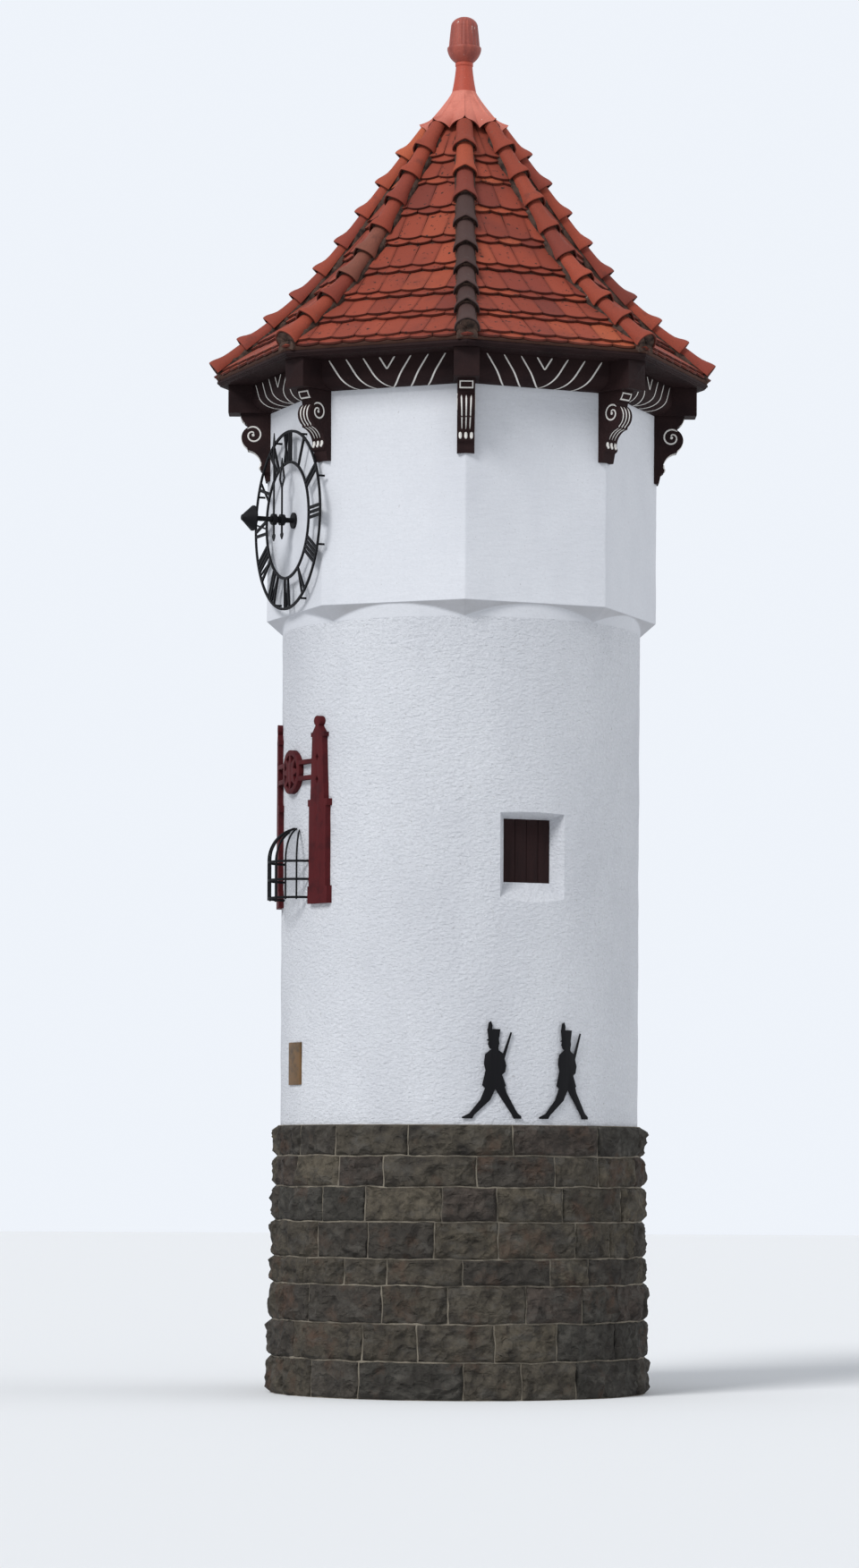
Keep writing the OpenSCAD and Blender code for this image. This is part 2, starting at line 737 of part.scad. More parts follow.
// Outline of a marching guard who faces left, from the toe of the stepping boot round to its heel
function guard_body() = [
    [-250, 12], [-222, 26], [-190, 42], [-175, 62], [-104, 150], [-66, 243], [-90, 266], [-62, 385],
    [-76, 440], [-66, 515], [-30, 545], [-14, 556], [-30, 562], [-37, 575], [-39, 586], [-46, 594],
    [-41, 607], [-38, 620], [-56, 626], [-40, 638], [-50, 716], [-46, 717], [-38, 768], [-18, 780],
    [-6, 745], [-10, 717], [58, 716], [46, 630], [50, 602], [42, 562], [46, 546], [82, 522], [108, 425],
    [98, 372], [74, 352], [106, 262], [96, 256], [112, 205], [186, 72], [206, 42], [236, 20], [234, 0],
    [170, 0], [150, 40], [62, 168], [18, 236], [-22, 150], [-148, 32], [-168, 0], [-246, 0]];

// The guard with a musket on the shoulder
module guard_outline() {
    polygon(guard_body());
    polygon([[20, 356], [46, 344], [84, 450], [154, 690], [141, 694], [60, 470]]);
}

// Two guards cut from sheet, each on spacers
module guard_figures() {
    pins = [[-150, 55], [190, 45], [10, 300], [10, 500], [0, 670]];
    drawn_h = 780;
    size = guard_h / drawn_h;
    color("black") for (bearing = guard_bearings) facing(bearing) {
        intersection() {
            shaft_skin(guard_gap, guard_gap + guard_t);
            through_face(shaft_z + guard_rise) scale(size) guard_outline();
        }
        intersection() {
            shaft_skin(seat, guard_gap + guard_t / 2);
            through_face(shaft_z + guard_rise) for (p = pins) translate(p * size) circle(r = 7, $fn = 24);
        }
    }
}

// Blank plate on the wall
module blank_plaque() {
    color("dimgray") facing(plaque_bearing) intersection() {
        shaft_skin(seat, 14);
        through_face(shaft_z + plaque_rise) translate([-plaque_w / 2, 0]) square([plaque_w, plaque_h]);
    }
}

base_wall(0);  // base_wall_front_right
base_wall(90);  // base_wall_back_right
base_wall(180);  // base_wall_back_left
base_wall(270);  // base_wall_front_left
shaft_wall_window();  // shaft_wall_front_right
shaft_wall(90);  // shaft_wall_back_right
shaft_wall(180);  // shaft_wall_back_left
shaft_wall(270);  // shaft_wall_front_left
drum_wall_at(half_face);  // drum_wall_front_right
drum_wall_at(half_face + 45);  // drum_wall_right_front
drum_wall_at(half_face + 90);  // drum_wall_right_back
drum_wall_at(half_face + 135);  // drum_wall_back_right
drum_wall_at(half_face + 180);  // drum_wall_back_left
drum_wall_at(half_face + 225);  // drum_wall_left_back
drum_wall_at(half_face + 270);  // drum_wall_left_front
drum_wall_at(half_face + 315);  // drum_wall_front_left
window_shutter();
eaves_beams();
eaves_brackets();
cove_boards();
eaves_boards();
roof_slope(half_face);  // roof_front_right
roof_slope(half_face + 45);  // roof_right_front
roof_slope(half_face + 90);  // roof_right_back
roof_slope(half_face + 135);  // roof_back_right
roof_slope(half_face + 180);  // roof_back_left
roof_slope(half_face + 225);  // roof_left_back
roof_slope(half_face + 270);  // roof_left_front
roof_slope(half_face + 315);  // roof_front_left
hip_tiles();
finial_bed();
finial_skirt();
finial_neck();
finial_cup();
finial_acorn();
clock_dial();
dial_standoffs();
centre_post();
post_shade();
hour_hand();
minute_hand();
pillar_relief();
basket_grille();
guard_figures();
blank_plaque();
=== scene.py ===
import bmesh
import bpy
import numpy as np
from mathutils import Matrix, Vector


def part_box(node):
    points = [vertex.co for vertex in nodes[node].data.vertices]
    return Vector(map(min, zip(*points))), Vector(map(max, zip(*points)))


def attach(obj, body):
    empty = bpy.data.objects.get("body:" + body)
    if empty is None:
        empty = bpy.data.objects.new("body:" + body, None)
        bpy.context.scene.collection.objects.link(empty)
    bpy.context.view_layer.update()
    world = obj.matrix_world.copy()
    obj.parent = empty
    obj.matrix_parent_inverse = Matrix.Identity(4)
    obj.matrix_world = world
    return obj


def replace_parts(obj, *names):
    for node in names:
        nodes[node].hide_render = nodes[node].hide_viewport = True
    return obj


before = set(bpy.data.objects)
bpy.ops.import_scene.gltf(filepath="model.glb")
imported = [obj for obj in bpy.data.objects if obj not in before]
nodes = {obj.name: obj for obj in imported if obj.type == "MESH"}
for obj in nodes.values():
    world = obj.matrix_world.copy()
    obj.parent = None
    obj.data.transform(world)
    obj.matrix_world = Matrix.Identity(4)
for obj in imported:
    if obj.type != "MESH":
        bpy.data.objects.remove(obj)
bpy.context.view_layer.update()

# Stone base. Eight courses of rock-faced sandstone blocks stand in lime mortar. Each block is
# squared at its bed and head joints, and its face is left rough from the hammer.
base_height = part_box("base_wall_front_right")[1].z
foot_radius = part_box("base_wall_front_right")[1].x
ledge_radius = 1.400
room_radius = 1.000
course_heights = np.array([0.28, 0.28, 0.28, 0.20, 0.27, 0.26, 0.23, 0.23])
fewest_blocks, most_blocks = 15, 18
shortest_block, longest_block = 0.65, 1.35
block_rows, block_columns = 13, 25
stone_depth = 0.06
joint = 0.011
joint_wander = 0.006
edge_wander = 0.002
arris_fall = 0.014
arris_width = 0.010
rock_relief = 0.027
rock_deepest = -0.3
rock_rounding = 0.03


def paint(red, green, blue):
    """Linear colour and alpha of a paint card's 0 to 255 values, by the usual curve of a screen: a
    straight line near black and a power of 2.4 above it."""
    card = np.array([red, green, blue]) / 255
    return (*np.where(card < 0.04045, card / 12.92, ((card + 0.055) / 1.055) ** 2.4), 1.0)


def paints(*cards):
    """Linear colours of several paint cards, one a row."""
    return np.array([paint(*card)[:3] for card in cards])


def spread(x, y, z):
    """Points from x, y and z, each repeated out to the shape that the three have together."""
    return np.stack(np.broadcast_arrays(x, y, z), -1)


def around(radius, bearing, height):
    """Points at a distance from the axis, a bearing from -Y towards +X and a height."""
    return spread(radius * np.sin(bearing), -radius * np.cos(bearing), height)


def waves(points, length, seed, count=20):
    """Relief from about -1 to 1: the mean of cosines with random directions and phases, scaled up.
    Their wavelengths run from the given length down to a third of it."""
    chance = np.random.default_rng(seed)
    ways = chance.normal(size=(count, 3))
    ways /= np.linalg.norm(ways, axis=1, keepdims=True) * length * chance.uniform(0.33, 1, (count, 1))
    turns = np.asarray(points) @ (2 * np.pi * ways.T) + chance.uniform(0, 2 * np.pi, count)
    return np.cos(turns).mean(-1) * count**0.5 * 0.7


def eased(count):
    """Shares from 0 to 1 that lie closer together towards both ends, as half a cosine wave does."""
    return 0.5 - 0.5 * np.cos(np.linspace(0, np.pi, count))


def grid_faces(rows, columns, wrap_rows=False, wrap_columns=False):
    """Quads that join each point of a grid to the next, and the last to the first where it wraps."""
    row, column = np.meshgrid(np.arange(rows if wrap_rows else rows - 1),
                              np.arange(columns if wrap_columns else columns - 1), indexing="ij")
    above, beside = (row + 1) % rows, (column + 1) % columns
    corners = [(row, column), (row, beside), (above, beside), (above, column)]
    return np.stack([r * columns + c for r, c in corners], -1).reshape(-1, 4)


def border_of(grid):
    """What lies round the border of a grid, in order."""
    return np.concatenate([grid[0, :-1], grid[:-1, -1], grid[-1, :0:-1], grid[:0:-1, 0]])


def shells(outer, inner):
    """Closed shells from pairs of grids, shaped copies x rows x columns x 3: the outer grid, the
    inner grid turned over, and a rim that joins their borders."""
    rows, columns = outer.shape[-3:-1]
    size = rows * columns
    border = border_of(np.arange(size).reshape(rows, columns))
    ahead = np.roll(border, -1)
    over = grid_faces(rows, columns)
    rim = np.stack([border, border + size, ahead + size, ahead], -1)
    one = np.concatenate([over, over[:, ::-1] + size, rim])
    points = np.stack([outer.reshape(-1, size, 3), inner.reshape(-1, size, 3)], 1)
    faces = one[None] + (np.arange(len(points)) * 2 * size)[:, None, None]
    return points.reshape(-1, 3), faces.reshape(-1, 4)


def placed(name, data):
    """A new object of the scene, at the origin."""
    thing = bpy.data.objects.new(name, data)
    bpy.context.scene.collection.objects.link(thing)
    return thing


def add_piece(name, points, faces, material, slot, tint=None, sharp=40, merge=None):
    """A mesh object at the origin that rides on the tower. tint gives each point a colour of its own,
    edges sharper than the given angle stay crisp, and points nearer than merge are joined."""
    mesh = bpy.data.meshes.new(name)
    mesh.vertices.add(len(points))
    mesh.vertices.foreach_set("co", np.asarray(points, np.float32).ravel())
    mesh.loops.add(faces.size)
    mesh.loops.foreach_set("vertex_index", np.asarray(faces, np.int32).ravel())
    mesh.polygons.add(len(faces))
    mesh.polygons.foreach_set("loop_start", np.arange(0, faces.size, faces.shape[1], dtype=np.int32))
    mesh.update(calc_edges=True)
    if tint is not None:
        colours = mesh.attributes.new("tint", "FLOAT_COLOR", "POINT")
        full = np.concatenate([tint, np.ones((len(tint), 1))], 1)
        colours.data.foreach_set("color", full.astype(np.float32).ravel())
    if merge:
        work = bmesh.new()
        work.from_mesh(mesh)
        bmesh.ops.remove_doubles(work, verts=work.verts, dist=merge)
        work.to_mesh(mesh)
        work.free()
    mesh.polygons.foreach_set("use_smooth", np.ones(len(mesh.polygons), bool))
    mesh.set_sharp_from_angle(angle=np.radians(sharp))
    mesh.materials.append(material)
    piece = placed(name, mesh)
    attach(piece, "tower")
    return piece


def shade(tree, kind, inputs, outlet=0, **settings):
    """Adds a shader node, sets or links its inputs, and returns one of its outlets."""
    made = tree.nodes.new("ShaderNode" + kind)
    for key, value in settings.items():
        setattr(made, key, value)
    for key, value in inputs.items():
        if isinstance(value, bpy.types.NodeSocket):
            tree.links.new(value, made.inputs[key])
        else:
            made.inputs[key].default_value = value
    return made.outputs[outlet]


def speckle(tree, size, stretch=(1, 1, 1)):
    """Noise on object coordinates with patches of about the given size in metres, drawn out along
    the axes by the given factors."""
    place = shade(tree, "TexCoord", {}, "Object")
    scaled = shade(tree, "Mapping", {"Vector": place, "Scale": tuple(1 / s for s in stretch)})
    return shade(tree, "TexNoise", {"Vector": scaled, "Scale": 1 / size, "Detail": 5.0, "Roughness": 0.6})


def ranged(tree, value, low, high, to_low, to_high):
    """A value carried from one range to another and held at its ends."""
    return shade(tree, "MapRange", {"Value": value, "From Min": low, "From Max": high,
                                    "To Min": to_low, "To Max": to_high})


def finish(name, card, layers=(), grain=0.02, contrast=0.12, depth=0.001, rough=(0.75, 0.95),
           coarse=None, chips=None, metallic=0.0, gloss=0.2):
    """A weathered finish in the colour of a paint card, or in the tint of each point where the card
    is None. Layers are patchy stains of (card, size, cover, softness), and stretch where they are
    drawn out. The grain lightens and darkens the colour by its contrast and raises the surface by
    its depth, coarse is a broader relief of (size, depth, stretch), and chips are hollows of (size,
    depth) struck by a hammer."""
    material = bpy.data.materials.new(name)
    material.use_nodes = True
    tree = material.node_tree
    shader = tree.nodes["Principled BSDF"]
    fine = speckle(tree, grain)
    tone = ranged(tree, fine, 0.3, 0.7, 1 - contrast, 1 + contrast)
    own = paint(*card) if card else shade(tree, "Attribute", {}, "Color", attribute_name="tint")
    mixed = shade(tree, "Mix", {0: 1.0, 6: own, 7: tone}, 2, data_type="RGBA", blend_type="MULTIPLY")
    for stain, size, cover, softness, *stretch in layers:
        low, high = 1 - cover - softness, 1 - cover + softness
        patch = ranged(tree, speckle(tree, size, *stretch), low, high, 0, 1)
        mixed = shade(tree, "Mix", {0: patch, 6: mixed, 7: paint(*stain)}, 2, data_type="RGBA")
    tree.links.new(mixed, shader.inputs["Base Color"])
    tree.links.new(ranged(tree, fine, 0.3, 0.7, *rough), shader.inputs["Roughness"])
    shader.inputs["Metallic"].default_value = metallic
    shader.inputs["Specular IOR Level"].default_value = gloss
    bump = shade(tree, "Bump", {"Height": fine, "Strength": 0.8, "Distance": depth})
    if coarse:
        size, rise, stretch = coarse
        relief = speckle(tree, size, stretch)
        bump = shade(tree, "Bump", {"Height": relief, "Strength": 0.8, "Distance": rise, "Normal": bump})
    if chips:
        size, rise = chips
        place = shade(tree, "TexCoord", {}, "Object")
        shift = shade(tree, "TexNoise", {"Vector": place, "Scale": 0.5 / size, "Detail": 3.0}, 1)
        bent = shade(tree, "VectorMath", {0: shift, 1: (size, size, size), 2: place},
                     operation="MULTIPLY_ADD")
        hollow = shade(tree, "TexVoronoi", {"Vector": bent, "Scale": 1 / size})
        bump = shade(tree, "Bump", {"Height": hollow, "Strength": 0.9, "Distance": rise, "Normal": bump})
    tree.links.new(bump, shader.inputs["Normal"])
    return material


def sums(steps):
    """Running sums of steps, from 0."""
    return np.concatenate([[0], np.cumsum(steps)])


def face_radius(height):
    """Radius of the battered face of the base, which falls evenly from the foot to the ledge."""
    return foot_radius + (ledge_radius - foot_radius) * height / base_height


levels = sums(course_heights) * base_height / course_heights.sum()
draw = np.random.default_rng(11)
blocks = []
for course_bed, course_top in zip(levels[:-1], levels[1:]):
    count = draw.integers(fewest_blocks, most_blocks + 1)
    lengths = draw.uniform(shortest_block, longest_block, count)
    ends = 2 * np.pi * np.cumsum(lengths) / lengths.sum()
    starts = ends - 2 * np.pi * lengths / lengths.sum()
    turn = draw.uniform(0, 2 * np.pi)
    beds, tops = np.full(count, course_bed), np.full(count, course_top)
    blocks.append(np.stack([starts + turn, ends + turn, beds, tops], 1))
blocks = np.concatenate(blocks)
start, end, bed, top = (blocks[:, i, None, None] for i in range(4))
across = eased(block_columns)[None, None, :]
upward = eased(block_rows)[None, :, None]
joint_angle = joint / foot_radius
bearing = start + joint_angle / 2 + (end - start - joint_angle) * across
height = bed + joint / 2 + (top - bed - joint) * upward
inset = np.minimum(np.minimum(across, 1 - across) * (end - start) * foot_radius,
                   np.minimum(upward, 1 - upward) * (top - bed))
spots = around(face_radius(height), bearing, height)
block_shift = draw.normal(0, 3.0, (len(blocks), 1, 1, 3))
sideways = joint_wander * waves(spots, 0.3, 41) + edge_wander * waves(spots + block_shift, 0.1, 42)
upwards = joint_wander * waves(spots, 0.4, 43) + edge_wander * waves(spots + block_shift, 0.1, 44)
bearing = bearing + sideways / foot_radius
height = height + upwards * np.clip(4 * np.minimum(height, base_height - height), 0, 1)
spots = around(face_radius(height), bearing, height) + block_shift
hewn = 0.4 + 0.9 * waves(spots, 0.3, 1) - 0.9 * np.abs(waves(spots, 0.15, 2))
hewn = np.maximum(hewn + 0.5 * np.abs(waves(spots, 0.075, 3)), rock_deepest)
relief = rock_relief * hewn * np.clip(inset / rock_rounding, 0.15, 1)
relief = relief - arris_fall * np.exp(-inset / arris_width)
front = around(face_radius(height) + relief, bearing, height)
back = around(face_radius(height) - stone_depth, bearing, height)
stone_tones = paints((74, 69, 61), (67, 63, 58), (82, 76, 66), (71, 64, 59), (84, 61, 50), (61, 59, 55))
stone_share = [0.32, 0.26, 0.14, 0.14, 0.02, 0.12]
block_tones = stone_tones[draw.choice(6, len(blocks), p=stone_share)]
block_tones = block_tones * draw.uniform(0.86, 1.14, (len(blocks), 1))
sandstone = finish("sandstone", None, grain=0.03, contrast=0.26, depth=0.006, gloss=0.12,
                   coarse=(0.085, 0.050, (1.5, 1.5, 0.8)), chips=(0.10, 0.065),
                   layers=[((50, 47, 44), 0.16, 0.44, 0.12), ((80, 63, 53), 0.30, 0.34, 0.10),
                           ((84, 81, 76), 0.14, 0.36, 0.12, (1.5, 1.5, 0.7))])
base_stones = add_piece("base_stones", *shells(front, back), sandstone, "sandstone", sharp=55,
                        tint=np.repeat(block_tones, 2 * block_rows * block_columns, 0))

# Mortar core of the base. Lime mortar shows in the joints, a little behind the faces of the
# stones, and the core runs in to the round room and carries the shaft.
joint_recess = 0.015
mortar_relief = 0.003
core_rows, core_columns = 58, 360


def closed_grid(grid, wrap_rows=True):
    """Points and quads of a grid of rows x columns x 3 that closes on itself round its columns, and
    round its rows too where its last row meets the first."""
    return grid.reshape(-1, 3), grid_faces(*grid.shape[:2], wrap_rows, True)


bearings = np.linspace(0, 2 * np.pi, core_columns, endpoint=False)[None, :]
heights = np.linspace(0, base_height, core_rows)[:, None]
skin_radius = face_radius(heights) - joint_recess
skin_radius = skin_radius + mortar_relief * waves(around(skin_radius, bearings, heights), 0.12, 5)
skin = around(skin_radius, bearings, heights)
lining = around(room_radius, bearings, heights[::-1])
lime_mortar = finish("lime_mortar", (124, 117, 105), grain=0.008, contrast=0.2, depth=0.0015,
                     layers=[((84, 79, 71), 0.22, 0.45, 0.12)], gloss=0.1)
add_piece("base_core", *closed_grid(np.concatenate([skin, lining])), lime_mortar, "mortar")
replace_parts(base_stones, "base_wall_front_right", "base_wall_back_right", "base_wall_back_left",
            "base_wall_front_left")

# Round shaft. Brick rendered with white rough-cast plaster, laid on by hand, so the surface is a
# little uneven. One window with splayed reveals is cut through it.
shaft_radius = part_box("shaft_wall_back_right")[1].x
shaft_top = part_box("shaft_wall_back_right")[1].z
opening_foot, opening_head = (corner.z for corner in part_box("window_shutter"))
opening_half = 0.1875
window_bearing = np.radians(22.5)
reveal_depth = 0.130
jamb_splay = 0.090
sill_fall = 0.150
head_rise = 0.045
rows_below, window_rows, rows_above = 43, 17, 39
window_columns, side_columns = 13, 300
broad_swell, small_swell = 0.0022, 0.0010


def slope_out(half_width):
    """Depth from the shutter out to the round face at a half width, by Pythagoras on its radius."""
    return np.sqrt(shaft_radius**2 - half_width**2) - (shaft_radius - reveal_depth)


def spin(angle):
    """Matrix that turns rows of points about the axis, from -Y towards +X, when it multiplies them."""
    return np.array([[np.cos(angle), -np.sin(angle), 0], [np.sin(angle), np.cos(angle), 0], [0, 0, 1]]).T


# The half width at the face and the depth of the reveal there depend on each other, so they are
# worked out in rounds.
jamb = opening_half + jamb_splay
for _ in range(30):
    jamb = opening_half + jamb_splay * slope_out(jamb) / reveal_depth
jamb_bearing = np.arcsin(jamb / shaft_radius)
bearings = np.concatenate([np.linspace(-jamb_bearing, jamb_bearing, window_columns),
                           np.linspace(jamb_bearing, 2 * np.pi - jamb_bearing, side_columns)[1:-1]])
sill_level, lintel_level = opening_foot - sill_fall, opening_head + head_rise
row_levels = np.concatenate([np.linspace(base_height, sill_level, rows_below + 1)[:-1],
                             np.linspace(sill_level, lintel_level, window_rows),
                             np.linspace(lintel_level, shaft_top, rows_above + 1)[1:]])
sill_row, lintel_row = rows_below, rows_below + window_rows - 1
height = np.repeat(row_levels[:, None], len(bearings), 1)
depth = slope_out(shaft_radius * np.sin(bearings[:window_columns])) / reveal_depth
height[sill_row, :window_columns] = opening_foot - sill_fall * depth
height[lintel_row, :window_columns] = opening_head + head_rise * depth
spots = around(shaft_radius, bearings[None], height)
swollen = shaft_radius + broad_swell * waves(spots, 0.55, 6) + small_swell * waves(spots, 0.16, 7)
near_window = (np.abs(bearings) <= jamb_bearing)[None] | (bearings > 2 * np.pi - jamb_bearing)[None]
outside = around(np.where(near_window, shaft_radius, swollen), bearings[None], height)
inside = around(room_radius, bearings[None], height[::-1])
# The rows of the grid run up the outside and down the inside, so the window is left out of it twice,
# and the reveal joins the two holes by way of the frame of the shutter.
points, faces = closed_grid(np.concatenate([outside, inside]))
faces = faces.reshape(2 * len(row_levels), len(bearings), 4)
top_row = 2 * len(row_levels) - 1
solid = np.ones(faces.shape[:2], bool)
solid[sill_row:lintel_row, :window_columns - 1] = False
solid[top_row - lintel_row:top_row - sill_row, :window_columns - 1] = False
index = np.arange(len(points)).reshape(faces.shape[:2])
hole = border_of(index[sill_row:lintel_row + 1, :window_columns])
hole_inside = border_of(index[top_row - lintel_row:top_row - sill_row + 1, :window_columns][::-1])
frame_x, frame_z = np.meshgrid(np.linspace(-opening_half, opening_half, window_columns),
                               np.linspace(opening_foot, opening_head, window_rows))
frame_edge = border_of(spread(frame_x, reveal_depth - shaft_radius, frame_z))
points[hole_inside] = frame_edge
points[hole_inside, 1] = -np.sqrt(room_radius**2 - frame_edge[:, 0] ** 2)
middle = np.arange(len(frame_edge)) + len(points)
points = np.concatenate([points, frame_edge])
reveal = [np.stack([a, b, np.roll(b, -1), np.roll(a, -1)], -1)
          for a, b in ((hole, middle), (middle, hole_inside))]
rough_cast = finish("rough_cast", (209, 211, 216), grain=0.016, contrast=0.09, depth=0.010,
                    coarse=(0.026, 0.024, (1.6, 1.6, 0.8)), rough=(0.85, 0.95), gloss=0.1,
                    layers=[((194, 196, 202), 0.9, 0.40, 0.20, (1, 1, 2)),
                            ((178, 178, 180), 0.02, 0.33, 0.04)])
shaft_faces = np.concatenate([faces[solid], *reveal])
shaft_render = add_piece("shaft_render", points @ spin(window_bearing), shaft_faces, rough_cast,
                         "render", sharp=30)
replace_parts(shaft_render, "shaft_wall_front_right", "shaft_wall_back_right", "shaft_wall_back_left",
            "shaft_wall_front_left")

# Eight-sided drum. The upper storey is corbelled out to a flat-sided drum, finished in a smoother
# white render with its corners softened by the float. Its sloping underside is painted grey as shade.
drum_low, drum_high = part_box("drum_wall_front_right")
apothem = 1.378
drum_wall = 0.3
drum_foot = 5.890
corbel_slope = np.tan(np.radians(43.6))
half_face = np.pi / 8
corner_round = 0.0035
corbel_blend = 0.001
flat_swell, flat_ripple = 0.0016, 0.0006
grey_start, grey_edge = 0.002, 0.006
face_columns, corbel_rows, wall_rows = 36, 30, 60
edge_rows = np.array([-0.006, -0.003, 0, 0.004, 0.010])
steps = np.sin(np.linspace(-np.pi / 2, np.pi / 2, face_columns + 1)[:-1])
off_face = np.concatenate([steps * half_face] * 8)
bearings = off_face + np.repeat(half_face + np.arange(8) * 2 * half_face, face_columns)
heights = np.concatenate([np.linspace(drum_low.z, drum_foot + edge_rows[0], corbel_rows),
                          drum_foot + edge_rows[1:-1],
                          np.linspace(drum_foot + edge_rows[-1], drum_high.z, wall_rows)])[:, None]
side = np.minimum(apothem, apothem - (drum_foot - heights) / corbel_slope)
own_side = side / np.cos(off_face)
next_side = side / np.cos(2 * half_face - np.abs(off_face))
octagon = side - corner_round * np.log(np.exp((side - own_side) / corner_round)
                                       + np.exp((side - next_side) / corner_round))
spots = around(octagon, bearings[None], heights)
floated = octagon + flat_swell * waves(spots, 0.7, 8) + flat_ripple * waves(spots, 0.2, 9)
outer_radius = shaft_radius + corbel_blend * np.logaddexp(0, (floated - shaft_radius) / corbel_blend)
inner_radius = np.where(heights[::-1] > drum_foot, (apothem - drum_wall) / np.cos(off_face), room_radius)
drum_grid = np.concatenate([around(outer_radius, bearings[None], heights),
                            around(inner_radius, bearings[None], heights[::-1])])
# Below the foot of the drum the corbel is painted grey as shade, fading to a white like the shaft's where
# it barely stands out.
drum_white, cast_white, corbel_shade_grey = paints((208, 210, 215), (201, 203, 208), (176, 176, 179))
below = np.clip((drum_foot - drum_grid[..., 2:]) / grey_edge, 0, 1)
proud = np.ones_like(below)
stand_out = outer_radius - shaft_radius - grey_start
proud[:len(heights)] = np.clip(stand_out / grey_edge, 0, 1)[..., None]
drum_tint = drum_white * (1 - below) + (cast_white * (1 - proud) + corbel_shade_grey * proud) * below
smooth_render = finish("smooth_render", None, grain=0.02, contrast=0.035, depth=0.0015,
                       coarse=(0.05, 0.005, (2.4, 2.4, 0.7)), rough=(0.8, 0.95), gloss=0.1,
                       layers=[((196, 198, 204), 0.8, 0.38, 0.20, (1, 1, 2)),
                               ((176, 176, 178), 0.016, 0.31, 0.03)])
drum_render = add_piece("drum_render", *closed_grid(drum_grid), smooth_render, "render", sharp=30,
                        tint=drum_tint.reshape(-1, 3))
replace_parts(drum_render, *[name for name in nodes if name.startswith("drum_wall_")])

# Window shutter. Four upright boards of dark red-brown wood stand close together at the back of
# the splayed reveal, each bowed a little by the weather.
board_count = 4
board_rows, board_columns = 15, 7
board_gap = 0.004
board_bow = 0.003
board_grain = 0.0008
shutter_thickness = 0.024
shutter_setback = 0.004
board_width = 2 * opening_half / board_count
across = np.linspace(-1, 1, board_columns)[None, None, :]
upward = np.linspace(0, 1, board_rows)[None, :, None]
middles = ((np.arange(board_count) + 0.5) * board_width - opening_half)[:, None, None]
x = middles + across * (board_width - board_gap) / 2
z = opening_foot + (opening_head - opening_foot) * upward
bow = board_bow * (1 - np.abs(across) ** 8) + board_grain * waves(spread(x * 8, 0, z), 0.4, 12)
board_face = reveal_depth - shaft_radius
boards = spread(x, board_face + shutter_setback - bow, z)
board_backs = spread(x, board_face + shutter_thickness, z)
shutter_wood = finish("shutter_wood", (38, 24, 24), grain=0.01, contrast=0.25, depth=0.001,
                      rough=(0.6, 0.85), layers=[((30, 20, 20), 0.06, 0.4, 0.12, (1, 1, 9))], gloss=0.1)
turn = spin(window_bearing)
window_boards = add_piece("window_boards", *shells(boards @ turn, board_backs @ turn), shutter_wood,
                          "shutter_wood")
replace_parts(window_boards, "window_shutter")

# Timber eaves. Square beams lie over the corners, cove boards close the gaps between them and
# boards close the eaves; all is pine under old dark brown paint.
brown_paint = finish("brown_paint", (41, 28, 28), grain=0.015, contrast=0.18, depth=0.0008,
                     layers=[((32, 22, 23), 0.25, 0.42, 0.12), ((62, 40, 36), 0.05, 0.26, 0.04)],
                     rough=(0.55, 0.8), gloss=0.07)


def soften(name, material, width=0.004):
    """Gives a CAD node its finish, joins its loose triangles and rounds its arrises a little."""
    node = nodes[name]
    node.data.materials.clear()
    node.data.materials.append(material)
    weld = node.modifiers.new("joined", "WELD")
    weld.merge_threshold = 0.00005
    bevel = node.modifiers.new("arrises", "BEVEL")
    bevel.width = width
    bevel.segments = 2
    bevel.limit_method = "ANGLE"
    bevel.angle_limit = np.radians(30)


for name in ("eaves_beams", "cove_boards", "eaves_boards", "eaves_brackets"):
    soften(name, brown_paint)

# Painted lines on the cove boards. Flat brush strokes of white oil paint make a V with parallel
# arms on each side, and a small V above the middle, following the curve of the boards.
plate_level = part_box("cove_boards")[0].z
cove_reach = 0.138
cove_rise = 0.100
cove_height = 0.212
stroke_width = 0.0145
stroke_lift = 0.0025
stroke_root = 0.002
arm_slope = 0.66
arm_spacing = 0.137
arm_foot, small_arm_foot, arm_head = 0.004, 0.200, 0.290
cove_angles = np.linspace(0, np.pi / 2, 15)
cove_line = np.stack([apothem + cove_reach * np.sin(cove_angles),
                      plate_level + cove_rise * (1 - np.cos(cove_angles))], 1)
cove_line = np.concatenate([cove_line, [[apothem + cove_reach, plate_level + cove_height]]])


def run_along(line):
    """Distance from the first point of a line to each of its points, along its straight pieces."""
    return sums(np.linalg.norm(np.diff(line, axis=0), axis=1))


cove_run = run_along(cove_line)
cove_normal = np.stack([np.gradient(cove_line[:, 1]), -np.gradient(cove_line[:, 0])], 1)
cove_normal /= np.linalg.norm(cove_normal, axis=1, keepdims=True)


def on_cove(sideways, run, lift):
    """Points on the cove boards of the side that faces -Y: sideways along it, a run up the curve
    from its lower edge, and a lift off the board."""
    out, up = (np.interp(run, cove_run, place) + lift * np.interp(run, cove_run, normal)
               for place, normal in zip(cove_line.T, cove_normal.T))
    return spread(sideways, -out, up)


def eight_times(points, offset=0.0):
    """Copies of points turned to the eight bearings, starting at an offset, stacked in front."""
    return np.stack([points @ spin(offset + k * 2 * half_face) for k in range(8)])


def rounded_ends(share, power, least=0.0):
    """Width of a stroke along its length, from a share of 0 to 1: full in the middle and rounded
    off at both ends, the square root of one less a power of the distance from the middle."""
    return np.sqrt(np.clip(1 - np.abs(2 * share - 1) ** power, least, 1))


